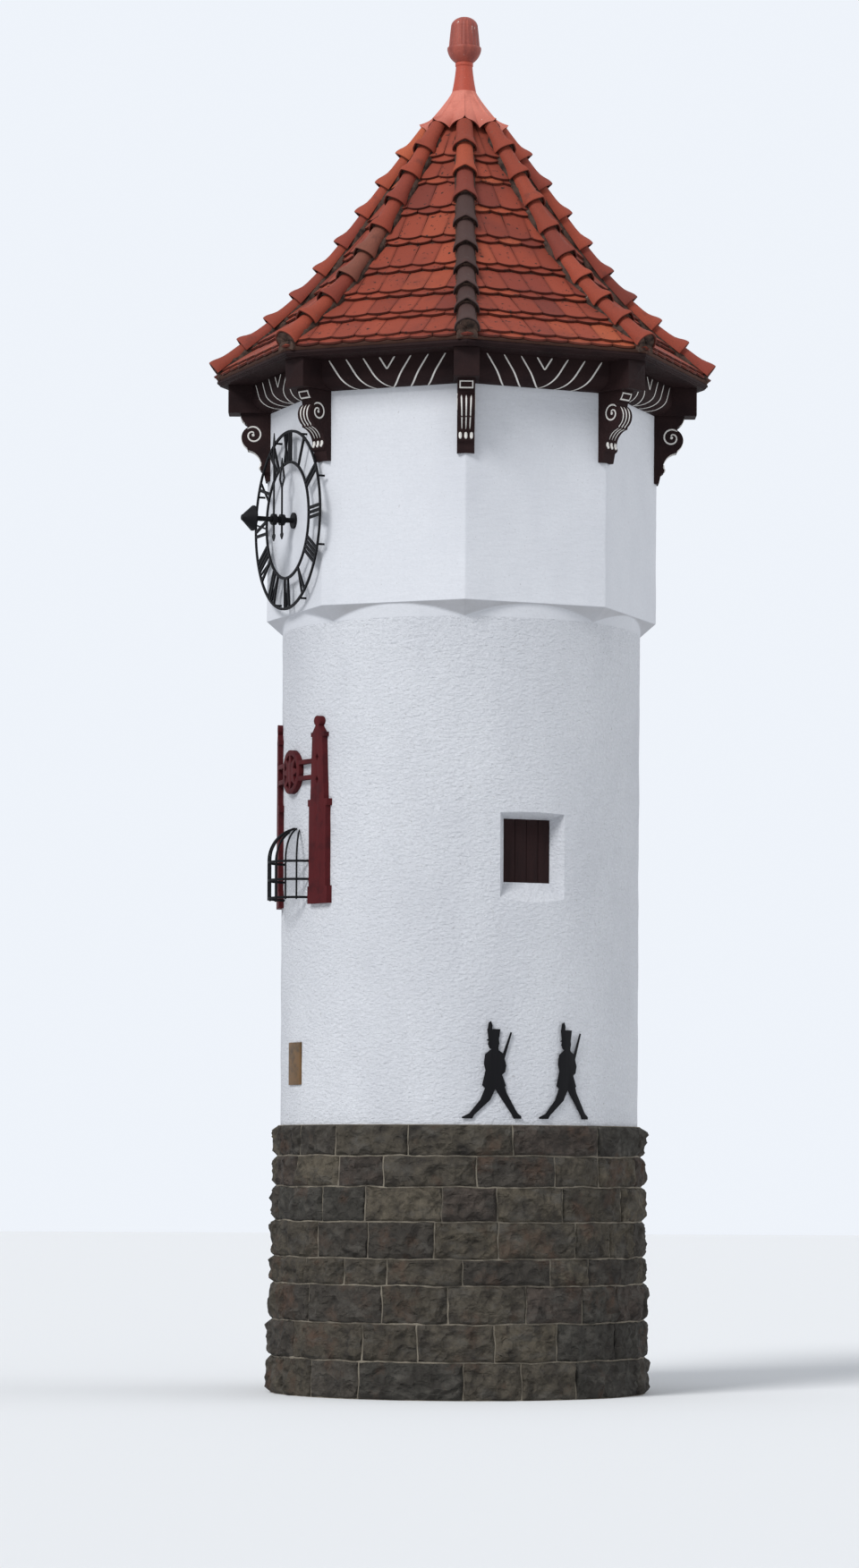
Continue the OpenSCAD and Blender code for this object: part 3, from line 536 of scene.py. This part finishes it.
arms = [(side, side * arm_spacing * n, arm_foot) for side in (-1, 1) for n in range(3)]
arms += [(side, 0.0, small_arm_foot) for side in (-1, 1)]
along = np.linspace(0, 1, 13)[:, None]
across = np.linspace(-1, 1, 3)[None, :]
strokes, stroke_backs = [], []
for side, start, foot in arms:
    run = foot + (arm_head - foot) * along
    half = stroke_width / 2 * (0.55 + 0.45 * rounded_ends(along, 8))
    sideways = start + side * arm_slope * (run - foot) + across * half
    strokes.append(on_cove(sideways, run, stroke_lift * (1 - 0.7 * across**2)))
    stroke_backs.append(on_cove(sideways, run, -stroke_root))
strokes, stroke_backs = (eight_times(np.stack(grids), half_face) for grids in (strokes, stroke_backs))
white_paint = finish("white_paint", (214, 211, 206), grain=0.01, contrast=0.1, depth=0.0006,
                     layers=[((130, 118, 108), 0.03, 0.26, 0.06)], rough=(0.5, 0.7))
add_piece("cove_strokes", *shells(strokes, stroke_backs), white_paint, "eaves_wood")

# Carving of the brackets. A spiral is painted white on each cheek, and the front has a buckle on
# the roll, three flutes down the scroll and three teeth over the tail.
corner_radius = apothem / np.cos(half_face)
bracket_half = 0.064
bracket_reach = 0.205
roll_radius = 0.095
volute_radius, volute_inset, volute_gap = 0.087, 0.008, 0.001
throat_radius, throat_shift = 0.122, (0.133, 0.019)
bead_radius, bead_out, bead_drop = 0.022, 0.032, 0.146
carve_lift = 0.004
carve_root = 0.004
cheek_root = 0.003
flute_top, flute_foot = 0.118, 0.350
flute_spacing = 0.036
flute_half, flute_thinning = 0.0068, 0.0030
tooth_top, tooth_foot = 0.368, 0.420
tooth_spacing = 0.041
tooth_half = 0.0115
tooth_bulge = 0.013
tooth_root = 0.006
buckle_half = 0.046
buckle_top, buckle_foot = 0.022, 0.066
buckle_stroke = 0.0045
spiral_radius, spiral_start, spiral_turn = 0.062, 45, 440
ribbon_half = 0.0058
spiral_out, spiral_drop = 0.108, 0.163
eye_radius, eye_drop = 0.011, 0.002


def arc(centre, radius, first, last, count):
    """Points on an arc between two angles in degrees."""
    angles = np.radians(np.linspace(first, last, count))
    return np.array(centre) + radius * np.stack([np.cos(angles), np.sin(angles)], 1)


volute = np.array([bracket_reach - volute_inset - volute_radius,
                   -roll_radius - volute_radius - volute_gap])
bead = np.array([bead_out, volute[1] - volute_radius - bead_drop])
front_line = np.concatenate([
    arc([bracket_reach - roll_radius, 0], roll_radius, 0, -62, 9),
    arc(volute, volute_radius, 62, -60, 13),
    arc(bead + throat_shift, throat_radius, 97, 174, 9),
    arc(bead, bead_radius, 55, -60, 7)])
carving, carving_backs = [], []


def on_front(sideways, drop, lift):
    """Points on the scrolled front of the bracket that faces -Y, a drop under the beam, read off
    its outline and lifted outwards."""
    out = corner_radius + np.interp(drop, -front_line[:, 1], front_line[:, 0]) + lift
    return spread(sideways, -out, plate_level - drop)


def carve_front(sideways, drop, lift, root):
    """Adds a raised stroke to the carving of the front, from its root in the wood up to its lift."""
    carving.append(on_front(sideways, drop, lift))
    carving_backs.append(on_front(sideways, drop, -root))


def on_cheek(side, out, up, lift, order):
    """Raised grid and rooted grid on the right (1) or left (-1) cheek of the bracket. An order of 1
    or -1 runs through the columns so that both cheeks face outwards."""
    return [spread(side * (bracket_half + rise), -out, up)[:, ::order * side]
            for rise in (lift, -cheek_root)]


share = np.linspace(0, 1, 17)[:, None]
across = np.linspace(-1, 1, 5)[None, :]
for place in (-1, 0, 1):
    half = (flute_half - flute_thinning * share) * rounded_ends(share, 10, 0.02)
    sideways = place * flute_spacing * (1 - 0.2 * share) + half * across
    drop = flute_top + (flute_foot - flute_top) * share
    carve_front(sideways, drop, carve_lift * (1 - across**2), carve_root)
for place in (-1, 0, 1):
    sideways = place * tooth_spacing + tooth_half * rounded_ends(share, 3, 0.02) * across
    drop = tooth_top + (tooth_foot - tooth_top) * share
    bulge = tooth_bulge * rounded_ends(share, 4) * (1 - 0.6 * across**2)
    carve_front(sideways, drop, bulge, tooth_root)
buckle = np.array([[-buckle_half, buckle_top], [buckle_half, buckle_top], [buckle_half, buckle_foot],
                   [-buckle_half, buckle_foot], [-buckle_half, buckle_top]])
for start, end in zip(buckle[:-1], buckle[1:]):
    length = np.linalg.norm(end - start)
    way = (end - start) / length
    run = np.linspace(-0.004, 1.004 * length, 17)[:, None]
    edge = -across * buckle_stroke
    carve_front(start[0] + way[0] * run - way[1] * edge, start[1] + way[1] * run + way[0] * edge,
                carve_lift * (1 - 0.6 * across**2), carve_root)
sweep = np.linspace(0, 1, 65)[:, None]
spiral_angle = np.radians(spiral_start + spiral_turn * sweep)
ribbon = spiral_radius - 0.006 * sweep - 0.044 * sweep**2.2
tapered = np.clip(np.minimum(sweep * 12 + 0.3, (1 - sweep) * 14 + 0.4), 0, 1)
ribbon = ribbon + across * ribbon_half * tapered
eye_angle = np.linspace(0, 2 * np.pi, 17)[:, None]
eye_share = np.linspace(1, 0, 5)[None, :]
centre_out, centre_up = corner_radius + spiral_out, plate_level - spiral_drop
curl = (centre_out + ribbon * np.cos(spiral_angle), centre_up + ribbon * np.sin(spiral_angle),
        carve_lift * (1 - 0.7 * across**2), -1)
eye = (centre_out + eye_radius * eye_share * np.cos(eye_angle),
       centre_up - eye_drop + eye_radius * eye_share * np.sin(eye_angle),
       carve_lift * np.sqrt(1 - 0.9 * eye_share**2), 1)
spirals, spiral_backs = [], []
for side in (-1, 1):
    raised, rooted = on_cheek(side, *curl)
    spirals.append(raised)
    spiral_backs.append(rooted)
    raised, rooted = on_cheek(side, *eye)
    carving.append(raised)
    carving_backs.append(rooted)
carved, curled = (shells(*(eight_times(np.stack(grids)) for grids in pair))
                  for pair in ((carving, carving_backs), (spirals, spiral_backs)))
add_piece("bracket_carving", *carved, white_paint, "eaves_wood", merge=1e-5)
add_piece("bracket_spirals", *curled, white_paint, "eaves_wood")

# Roof deck. Boards and battens over the rafters follow the bell-cast of the eight slopes, close
# under the tiles.
edge_apothem = 1.770
edge_level = 7.775
course_pitches = np.radians([41, 41, 46.5, 52, 57.5, 57.5, 57.5, 57.5])
course_gauges = np.array([0.306, 0.306, 0.306, 0.306, 0.306, 0.306, 0.220])
tile_edge = 0.038
deck_clearance = 0.002
roof_shell = 0.062
roof_head = 0.235
edge_a = edge_apothem - sums(course_gauges * np.cos(course_pitches[:7]))
edge_z = edge_level + sums(course_gauges * np.sin(course_pitches[:7]))
head_level = edge_z[-1] + (edge_a[-1] - roof_head) * np.tan(course_pitches[-1])
edges = np.stack([np.append(edge_a, roof_head), np.append(edge_z, head_level)], 1)
square_in = np.stack([np.sin(course_pitches), np.cos(course_pitches)], 1)
square_in = np.concatenate([square_in, square_in[-1:]])


def on_slope(sideways, line):
    """Points of the slope that faces -Y from a distance sideways and pairs of (apothem, height)."""
    return spread(sideways, -line[..., 0], line[..., 1])


half_widths = np.tan(half_face) * np.array([[-1, 1]])
deck_lines = [edges - square_in * depth for depth in (tile_edge + deck_clearance, roof_shell)]
deck_top, deck_foot = (eight_times(on_slope(line[:, :1] * half_widths, line[:, None]), half_face)
                       for line in deck_lines)
deck_wood = finish("deck_wood", (70, 46, 38), grain=0.02, contrast=0.2)
add_piece("roof_deck", *shells(deck_top, deck_foot), deck_wood, "eaves_wood", sharp=20)

# Plain clay tiles. Beaver-tail tiles of 180 mm hang two deep on each batten, the upper layer half
# a tile to the side and a little higher, so that every course shows two rows of shallow scallops.
tile_width = 0.180
tile_gap = 0.003
tile_thickness = 0.015
tile_camber = 0.0012
tile_columns = 9
tile_rows = np.array([0, 0.03, 0.15, 0.32, 0.52, 0.75, 1.0])
layer_setback, layer_gap = 0.046, 0.003
head_lap = 0.075
narrowest = 0.02
scallop = 0.024
uneven_tails, uneven_lift, uneven_turn = 0.0025, 0.003, 0.005
clay_tones = paints((142, 66, 49), (134, 62, 47), (152, 73, 52), (126, 58, 46), (162, 82, 56),
                    (116, 55, 45))
clay_share = [0.36, 0.32, 0.13, 0.13, 0.03, 0.03]
roof_clay = finish("roof_clay", None, grain=0.006, contrast=0.10, depth=0.0008, rough=(0.6, 0.85),
                   layers=[((104, 52, 45), 0.45, 0.34, 0.16), ((160, 78, 56), 0.60, 0.24, 0.12),
                           ((44, 33, 29), 0.034, 0.36, 0.015)])
face_names = ["front_right", "right_front", "right_back", "back_right", "back_left", "left_back",
              "left_front", "front_left"]
draw = np.random.default_rng(23)


def dirt_and_shade(tones, outer, tail_share, side_share=1.0):
    """Tints for the points of shells: a tone for each shell, darkened to a share of it at the tail, down
    the two sides and over the whole underside. The darker tail is partly dirt and partly painted shade,
    and the darker sides and underside are painted shade between and under the tiles."""
    rows, columns = outer.shape[-3:-1]
    face = np.ones((rows, columns))
    face[:, [0, -1]] = side_share
    face[0] = tail_share
    both = np.stack([face, np.full((rows, columns), tail_share)])
    return (both[None, ..., None] * tones[:, None, None, None, :]).reshape(-1, 3)


def course_tiles(course, layer):
    """The tiles of one layer of a course on the slope that faces -Y, as outer and inner grids. Each
    is a slab from its rounded tail to its lapped head, cut off where it runs past the hips."""
    base, next_edge = edges[course], edges[course + 1] - square_in[course] * tile_edge
    gauge = np.linalg.norm(next_edge - base)
    slope = (next_edge - base) / gauge
    lift = np.array([slope[1], -slope[0]]) * np.sign(slope[1])
    limit = base[0] * np.tan(half_face)
    count = int(np.ceil(limit / tile_width)) + 1
    centres = (np.arange(-count, count + 1) + 0.5 * layer) * tile_width
    centres = centres[np.abs(centres) - tile_width / 2 < limit - narrowest][:, None, None]
    across = np.linspace(-1, 1, tile_columns)[None, None, :]
    along = tile_rows[None, :, None]
    whole = gauge + head_lap - layer * layer_setback
    tail = layer * layer_setback + scallop * across**2 + draw.normal(0, uneven_tails, centres.shape)
    run = tail + (whole - scallop * across**2) * along
    raised = draw.uniform(0, uneven_lift, centres.shape) * (1 - along) - tile_camber * across**2
    twist = draw.normal(0, uneven_turn, centres.shape) * (0.3 - along)
    sideways = centres + across * (tile_width - tile_gap) / 2 + twist
    level = raised - (1 - layer) * (tile_thickness + layer_gap)
    outer = base + run[..., None] * slope + level[..., None] * lift
    reach = outer[..., 0] * np.tan(half_face)
    sideways = np.clip(sideways, -reach, reach)
    return on_slope(sideways, outer), on_slope(sideways, outer - tile_thickness * lift)


for k, face_name in enumerate(face_names):
    grids = [course_tiles(course, layer) for course in range(8) for layer in (0, 1)]
    outer, inner = (np.concatenate(layers) @ spin(half_face * (2 * k + 1)) for layers in zip(*grids))
    tones = clay_tones[draw.choice(6, len(outer), p=clay_share)]
    tones = tones * draw.uniform(0.92, 1.08, (len(outer), 1))
    # The tiles are darkened at their tails, partly as dirt and partly as painted shade, and along their
    # sides and underneath as painted shade.
    piece = add_piece("tiles_" + face_name, *shells(outer, inner), roof_clay, "roof_tile", sharp=35,
                      tint=dirt_and_shade(tones, outer, 0.30, 0.70))
    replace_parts(piece, "roof_" + face_name)

# Hip tiles. Half-round tapered tiles with a flared lip cover each corner of the roof, bedded in
# mortar. Each lip has a small pointed crest, and the row over the front corner has weathered dark.
hip_count = 9
hip_gauge = 0.274
hip_length = 0.322
hip_start = 0.033
hip_top_cut = 0.045
hip_wide, hip_narrow = 0.073, 0.061
hip_lip = 0.096
hip_lip_length = 0.088
hip_crest, eaves_crest = 0.019, 0.004
hip_sink = 0.010
hip_slip = 0.008
hip_wall = 0.016
lip_round, lip_round_length = 0.005, 0.003
lip_thin, lip_thin_length = 0.007, 0.004
inner_setback = 0.001
dark_hip, dark_tiles = 0, range(6)
lichen_hip, lichen_tiles = 7, (3, 4)
hip_line = edges / [np.cos(half_face), 1]
hip_run = run_along(hip_line)
length_share = np.array([0, 0.006, 0.016, 0.035, 0.065, 0.10, 0.14, 0.19, 0.26, 0.36, 0.5, 0.75, 1.0])
wrap = np.radians(np.linspace(-100, 100, 37))
along = (length_share * hip_length)[:, None]
flare = np.exp(-((along / hip_lip_length) ** 2.4))
barrel = hip_wide + (hip_narrow - hip_wide) * along / hip_length
peak = np.exp(-(np.abs(wrap[None]) / np.radians(17)) ** 1.4)


def hip_point(run):
    """The point (distance from the axis, height) at a run up the line of the hip, on the straight
    piece between two courses."""
    return np.array([np.interp(run, hip_run, hip_line[:, 0]), np.interp(run, hip_run, hip_line[:, 1])])


def hip_seat(i):
    """Seat of a hip tile, counted from the eaves: its lower end, sunk from the chord between the two
    points of the hip that it spans, and the directions along that chord and square to it."""
    run = i * hip_gauge + hip_start
    high, aim = hip_point(run + hip_length), hip_point(run)
    lean = np.arctan2(high[1] - aim[1], aim[0] - high[0])
    along_hip = np.array([-np.cos(lean), np.sin(lean)])
    square = np.array([np.sin(lean), np.cos(lean)])
    return high - hip_length * along_hip - hip_sink * square, along_hip, square


def hip_shell(crest):
    """Outer and inner grids of a hip tile with its lip at the origin and its length along the last
    axis: a tapered barrel, a flared lip and a pointed crest of the given height."""
    rounding = lip_round * np.exp(-along / lip_round_length)
    outer_r = barrel + flare * (hip_lip - hip_wide + crest * peak) - rounding
    inner_r = outer_r - hip_wall + lip_thin * np.exp(-along / lip_thin_length)
    return [spread(r * np.sin(wrap), r * np.cos(wrap), run)
            for r, run in ((outer_r, along), (inner_r, along + inner_setback))]


hip_dark, hip_lichen = paints((70, 52, 49), (104, 88, 76))
hip_outer, hip_inner, hip_tones = [], [], []
draw = np.random.default_rng(31)
for k in range(8):
    for i in range(hip_count):
        low, along_hip, square = hip_seat(i)
        slip = draw.uniform(0, hip_slip)
        kept = 1 - hip_top_cut / hip_length if i == hip_count - 1 else 1
        for grid, store in zip(hip_shell(hip_crest if i else eaves_crest), (hip_outer, hip_inner)):
            line = low + (grid[..., 2:] * kept + slip) * along_hip + grid[..., 1:2] * square
            store.append(on_slope(grid[..., 0], line) @ spin(k * 2 * half_face))
        tone = clay_tones[draw.choice(6, p=clay_share)] * draw.uniform(0.9, 1.12)
        if k == dark_hip and i in dark_tiles:
            tone = hip_dark * draw.uniform(0.8, 1.1)
        if k == lichen_hip and i in lichen_tiles:
            tone = 0.6 * tone + 0.4 * hip_lichen
        hip_tones.append(tone)
hip_outer = np.stack(hip_outer)
hip_clay = finish("hip_clay", None, grain=0.008, contrast=0.2, depth=0.0012, rough=(0.6, 0.88),
                  layers=[((78, 48, 43), 0.16, 0.28, 0.12), ((110, 98, 86), 0.04, 0.28, 0.03),
                          ((52, 42, 38), 0.03, 0.14, 0.04)])
# The hip tiles are darkened at the lip and over the underside, as painted shade in their mouths and some
# dirt at the lip's edge.
hip_piece = add_piece("hip_tiles_clay", *shells(hip_outer, np.stack(hip_inner)), hip_clay, "hip_tile",
                      tint=dirt_and_shade(np.stack(hip_tones), hip_outer, 0.34), sharp=50)
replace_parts(hip_piece, "hip_tiles")

# Mortar bedding of the hips. Grey mortar fills the space under each row of hip tiles, lies as an
# uneven fillet on the plain tiles on both sides and plugs the mouth of each hip tile.
bed_half = 0.076
bed_low, bed_rise, bed_under = 0.020, 0.046, 0.055
bed_foot, bed_head = 0.05, 0.13
bed_uneven = 0.006
plug_setback, eaves_plug_setback = 0.026, 0.012
plug_depth = 0.02
plug_share = 0.96
plug_overlap = 0.003
runs = np.linspace(bed_foot, hip_run[-1] - bed_head, 120)[:, None]
sideways = np.linspace(-bed_half, bed_half, 13)[None, :]
hip_r = np.interp(runs, hip_run, hip_line[:, 0])
apothem_there = hip_r * np.cos(half_face) + np.abs(sideways) * np.sin(half_face)
slope_level = np.interp(apothem_there, edges[::-1, 0], edges[::-1, 1])
crown = np.cos(np.clip(sideways / bed_half, -1, 1) * np.pi / 2) ** 0.5
rough_edge = bed_uneven * waves(spread(sideways, -hip_r, slope_level), 0.09, 14)
fill = slope_level - bed_low + bed_rise * crown + rough_edge
bedding = spread(sideways * (1 + rough_edge * 8), -hip_r, fill)
under = spread(sideways, -hip_r, slope_level - bed_under)
points, faces = shells(eight_times(bedding), eight_times(under))
plug_wrap = np.radians(np.linspace(100, -100, 15))[None, :]
plug_r = np.linspace(1, 0, 6)[:, None] * (hip_lip - hip_wall + plug_overlap)
plug_across = plug_share * plug_r * np.sin(plug_wrap)
plug_up = (plug_share * plug_r * np.cos(plug_wrap))[..., None]
plugs, plug_backs = [], []
for i in range(hip_count):
    low, along_hip, square = hip_seat(i)
    uneven = bed_uneven * waves(spread(plug_r, plug_wrap, i), 0.5, 15)
    mouth = (plug_setback if i else eaves_plug_setback) + uneven
    for depth, store in ((mouth, plugs), (mouth + plug_depth, plug_backs)):
        store.append(on_slope(plug_across, low + depth[..., None] * along_hip + plug_up * square))
more, more_faces = shells(eight_times(np.stack(plugs)), eight_times(np.stack(plug_backs)))
points, faces = np.concatenate([points, more]), np.concatenate([faces, more_faces + len(points)])
# The mortar is painted dark brown with darker patches: partly its own mottled colour and moss, and partly
# painted shade in the gaps beside the hip tiles.
roof_mortar = finish("roof_mortar", (76, 60, 53), grain=0.012, contrast=0.25, depth=0.002, gloss=0.1,
                     layers=[((42, 34, 31), 0.07, 0.46, 0.08), ((140, 124, 112), 0.03, 0.30, 0.05),
                             ((60, 60, 44), 0.07, 0.16, 0.06)])
add_piece("hip_mortar", points, faces, roof_mortar, "mortar", merge=1e-5)

# Finial skirt. A thrown and cut bell of fired clay caps the eight hips. Its ridges run down the
# hips to hoods with pointed crests, and its rim dips to a cusp over each slope.
skirt_low, skirt_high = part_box("finial_skirt")
neck_foot = 0.093
cusp_radius = 0.300
skirt_wall = 0.016
bell_waist, bell_fall = 0.032, 0.087
hood_rise, hood_crest = 0.052, 0.018
rim_flare, crest_flare = 0.026, 0.016
ridge_lift = 0.012
rim_clear = 0.004
octant_columns = 32


def drawn(t, first, pull, last):
    """From first to last on a parabola that is drawn towards pull, at shares t of the way."""
    return (1 - t) ** 2 * first + 2 * t * (1 - t) * pull + t**2 * last


share = np.concatenate([np.linspace(0, 1, octant_columns + 1)[:-1]] * 8)
bearings = (np.repeat(np.arange(8), octant_columns) + share) * 2 * half_face
from_hip = np.minimum(share, 1 - share) * 2
hood = 1 - 0.22 * from_hip - 0.78 * from_hip**3
peak = np.exp(-from_hip / 0.09)
t = np.linspace(0, 1, 30)[:, None]
rim_level = skirt_low.z + rim_clear + hood_rise * hood + hood_crest * peak
bell_r = drawn(t, neck_foot, neck_foot + bell_waist, cusp_radius)
bell_z = drawn(t, skirt_high.z, skirt_high.z - bell_fall, rim_level)
flare = (rim_flare * hood + crest_flare * peak) * np.clip((t - 0.80) / 0.20, 0, 1) ** 2
ridge = ridge_lift * (peak - 0.4) * np.sin(np.pi * t)
outer_r, outer_z = bell_r + ridge + flare, bell_z + 0.35 * flare
outside = around(outer_r, bearings[None], outer_z)
inside = around(outer_r - skirt_wall, bearings[None], outer_z - 0.25 * skirt_wall)
finial_clay = finish("finial_clay", None, grain=0.01, contrast=0.10, depth=0.0012, rough=(0.5, 0.75),
                     layers=[((168, 92, 78), 0.14, 0.32, 0.14), ((208, 138, 122), 0.20, 0.26, 0.12),
                             ((226, 212, 204), 0.018, 0.275, 0.015, (1, 1, 4))])
bell_tone, rim_tone = paints((202, 122, 106), (150, 76, 62))
rim_share = np.clip((t[::-1] - 0.62) / 0.38, 0, 1)[..., None] * (0.75 - 0.35 * hood)[None, :, None]
skirt_tint = bell_tone * (1 - rim_share) + rim_tone * rim_share
# The bell darkens towards its rim, and its inside is painted at about a third of the outside's brightness
# as shade.
skirt_tint = np.concatenate([skirt_tint, 0.35 * skirt_tint[::-1]])
skirt_grid = np.concatenate([outside[::-1], inside])
skirt = add_piece("finial_skirt_clay", *closed_grid(skirt_grid), finial_clay, "finial_clay",
                  tint=skirt_tint.reshape(-1, 3), sharp=45)
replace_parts(skirt, "finial_skirt")

# Neck, cup and acorn. Three turned pieces of fired clay stand on each other over the skirt, with
# a collar under the cup and shallow ribs down the acorn. The cup and the acorn are glazed.
acorn_low, acorn_high = (corner.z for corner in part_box("finial_acorn"))
cup_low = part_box("finial_cup")[0].z
neck_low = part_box("finial_neck")[0].z
collar_height = 0.028
neck_top = cup_low - collar_height
acorn_tall = acorn_high - acorn_low
shoulder = 0.66
shoulder_radius = 0.104


def turned(name, profile, material, ribs=0, rib_depth=0.0, spacing=96):
    """A turned piece: a profile of (radius, height) rows carried round the axis, its radius waved by
    a cosine into shallow ribs."""
    bearings = np.linspace(0, 2 * np.pi, spacing, endpoint=False)[None]
    radius, level = profile[:, :1], profile[:, 1:]
    fluted = radius * (1 - rib_depth * (0.5 - 0.5 * np.cos(ribs * bearings)))
    grid = around(fluted, bearings, level)
    return add_piece(name, *closed_grid(grid, False), material, "finial_clay", merge=1e-6)


def curve(first, pull, last, count):
    """Rows of (radius, height) on a drawn parabola, evenly spaced in its share."""
    return drawn(np.linspace(0, 1, count)[:, None], *np.array([first, pull, last]))


neck_profile = np.concatenate([
    [[0, neck_low]],
    curve([neck_foot, neck_low], [0.071, (neck_low + neck_top) / 2], [0.063, neck_top], 16),
    [[0.0672, neck_top + 0.002], [0.068, neck_top + 0.005], [0.068, cup_low - 0.003], [0.0665, cup_low],
     [0, cup_low]]])
cup_profile = np.concatenate([
    [[0, cup_low]],
    curve([0.063, cup_low], [0.118, cup_low + 0.035], [0.130, cup_low + 0.099], 18),
    [[0.1300, acorn_low - 0.004], [0.1275, acorn_low - 0.0005], [0.122, acorn_low], [0, acorn_low]]])
dome = np.linspace(0, np.pi / 2, 22)[1:]
acorn_profile = np.concatenate([
    [[0, acorn_low], [0.1195, acorn_low]],
    curve([0.1195, acorn_low + 0.001], [0.112, acorn_low + acorn_tall * 0.4],
          [shoulder_radius, acorn_low + acorn_tall * shoulder], 14),
    np.stack([shoulder_radius * np.cos(dome),
              acorn_low + acorn_tall * (shoulder + (1 - shoulder) * np.sin(dome))], 1)])
neck_finish = finish("neck_clay", (170, 78, 62), grain=0.01, contrast=0.12, depth=0.0010,
                     layers=[((150, 68, 56), 0.12, 0.34, 0.14),
                             ((216, 196, 184), 0.012, 0.27, 0.015, (1, 1, 4))], rough=(0.45, 0.7))
glazed_clay = finish("glazed_clay", (156, 82, 70), grain=0.012, contrast=0.16, depth=0.0008,
                     layers=[((110, 56, 52), 0.10, 0.40, 0.14, (1, 1, 6)),
                             ((216, 200, 190), 0.016, 0.30, 0.02, (1, 1, 7))], rough=(0.4, 0.6))
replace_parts(turned("neck_clay", neck_profile, neck_finish), "finial_neck")
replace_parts(turned("cup_clay", cup_profile, glazed_clay), "finial_cup")
acorn_clay = turned("acorn_clay", acorn_profile, glazed_clay, ribs=22, rib_depth=0.03, spacing=220)
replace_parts(acorn_clay, "finial_acorn")
nodes["finial_bed"].data.materials.clear()
nodes["finial_bed"].data.materials.append(roof_mortar)

# Clock. Open rings and numerals are cut from iron plate and stand off the wall on pins; the hands
# turn on a fixed post. All of it is painted black, as are the guards and grille of the ornament.
black_iron = finish("black_iron", (15, 15, 18), grain=0.006, contrast=0.25, depth=0.0004,
                    layers=[((28, 24, 24), 0.08, 0.24, 0.08)], rough=(0.5, 0.75), gloss=0.12)
hand_black = finish("hand_black", (14, 14, 17), grain=0.004, contrast=0.2, depth=0.0003,
                    rough=(0.45, 0.65), gloss=0.12)
for name in ("clock_dial", "dial_standoffs", "centre_post", "post_shade", "basket_grille",
             "guard_figures"):
    soften(name, black_iron, 0.001)
for name in ("hour_hand", "minute_hand"):
    soften(name, hand_black, 0.001)

# Wall ornaments. The pillars and their ring are cut from thick board painted dark red, and the
# small plate is bare bronze gone brown.
relief_red = finish("relief_red", (76, 26, 29), grain=0.008, contrast=0.2, depth=0.001,
                    layers=[((54, 20, 24), 0.12, 0.40, 0.12), ((96, 40, 40), 0.03, 0.16, 0.05)],
                    rough=(0.55, 0.8), gloss=0.1)
bronze = finish("bronze", (120, 92, 62), grain=0.01, contrast=0.2, depth=0.0004, rough=(0.35, 0.6),
                layers=[((70, 62, 50), 0.10, 0.40, 0.12)], metallic=0.9)
soften("pillar_relief", relief_red, 0.003)
soften("blank_plaque", bronze, 0.002)

# Camera. It stands 35 m away at eye height, a little to the left of square on, with a long lens
# that is kept level and shifted up, so that upright lines stay parallel.
view_distance = 35.0
eye_height = 1.685
view_bearing = np.radians(-0.95)
yaw, roll = np.radians([0.365, 0.29])
camera_data = bpy.data.cameras.new("camera")
camera_data.lens = 104.9
camera_data.sensor_width = 36
camera_data.shift_y = 0.2473
camera_data.clip_end = 500
camera = placed("camera", camera_data)
bpy.context.scene.camera = camera
stand = Matrix.Translation(around(view_distance, view_bearing, eye_height))
facing = Matrix.Rotation(view_bearing + yaw, 4, "Z")
upright = Matrix.Rotation(np.pi / 2, 4, "X")
camera.matrix_world = stand @ facing @ upright @ Matrix.Rotation(roll, 4, "Z")

# Floor and light. A plain pale floor keeps the shadow; a wide soft key comes from the left, a
# weak fill from the right and the sky fills the rest. The background is pale for the camera, for
# gloss and through glass.
floor_half = 90.0
floor_corners = [(x * floor_half, y * floor_half, 0) for x, y in ((-1, -1), (1, -1), (1, 1), (-1, 1))]
floor_mesh = bpy.data.meshes.new("floor")
floor_mesh.from_pydata(floor_corners, [], [(0, 1, 2, 3)])
floor = placed("floor", floor_mesh)
floor_paint = bpy.data.materials.new("floor_paint")
floor_paint.use_nodes = True
floor_shader = floor_paint.node_tree.nodes["Principled BSDF"]
floor_shader.inputs["Base Color"].default_value = (0.78, 0.79, 0.80, 1)
floor_shader.inputs["Roughness"].default_value = 0.9
floor_mesh.materials.append(floor_paint)
world = bpy.data.worlds.new("studio")
bpy.context.scene.world = world
world.use_nodes = True
tree = world.node_tree
rays = tree.nodes.new("ShaderNodeLightPath")
seen = rays.outputs["Is Camera Ray"]
for ray in ("Is Glossy Ray", "Is Transmission Ray"):
    seen = shade(tree, "Math", {0: seen, 1: rays.outputs[ray]}, operation="MAXIMUM")
sky = shade(tree, "Background", {"Color": (0.90, 0.94, 1.0, 1), "Strength": 0.54})
backdrop = shade(tree, "Background", {"Color": (0.86, 0.90, 0.96, 1), "Strength": 1.0})
both = shade(tree, "MixShader", {0: seen, 1: sky, 2: backdrop})
tree.links.new(both, tree.nodes["World Output"].inputs["Surface"])
lamps = {"key": (-38, 40, 2.25, 20), "fill": (92, 20, 0.75, 60)}
for name, (bearing, elevation, strength, width) in lamps.items():
    lamp_data = bpy.data.lights.new(name, "SUN")
    lamp_data.energy = strength
    lamp_data.angle = np.radians(width)
    lamp = placed(name, lamp_data)
    bearing, elevation = np.radians([bearing, elevation])
    away = Vector(around(np.cos(elevation), bearing, np.sin(elevation)))
    lamp.rotation_euler = away.to_track_quat("Z", "Y").to_euler()
bpy.context.scene.view_settings.view_transform = "Standard"
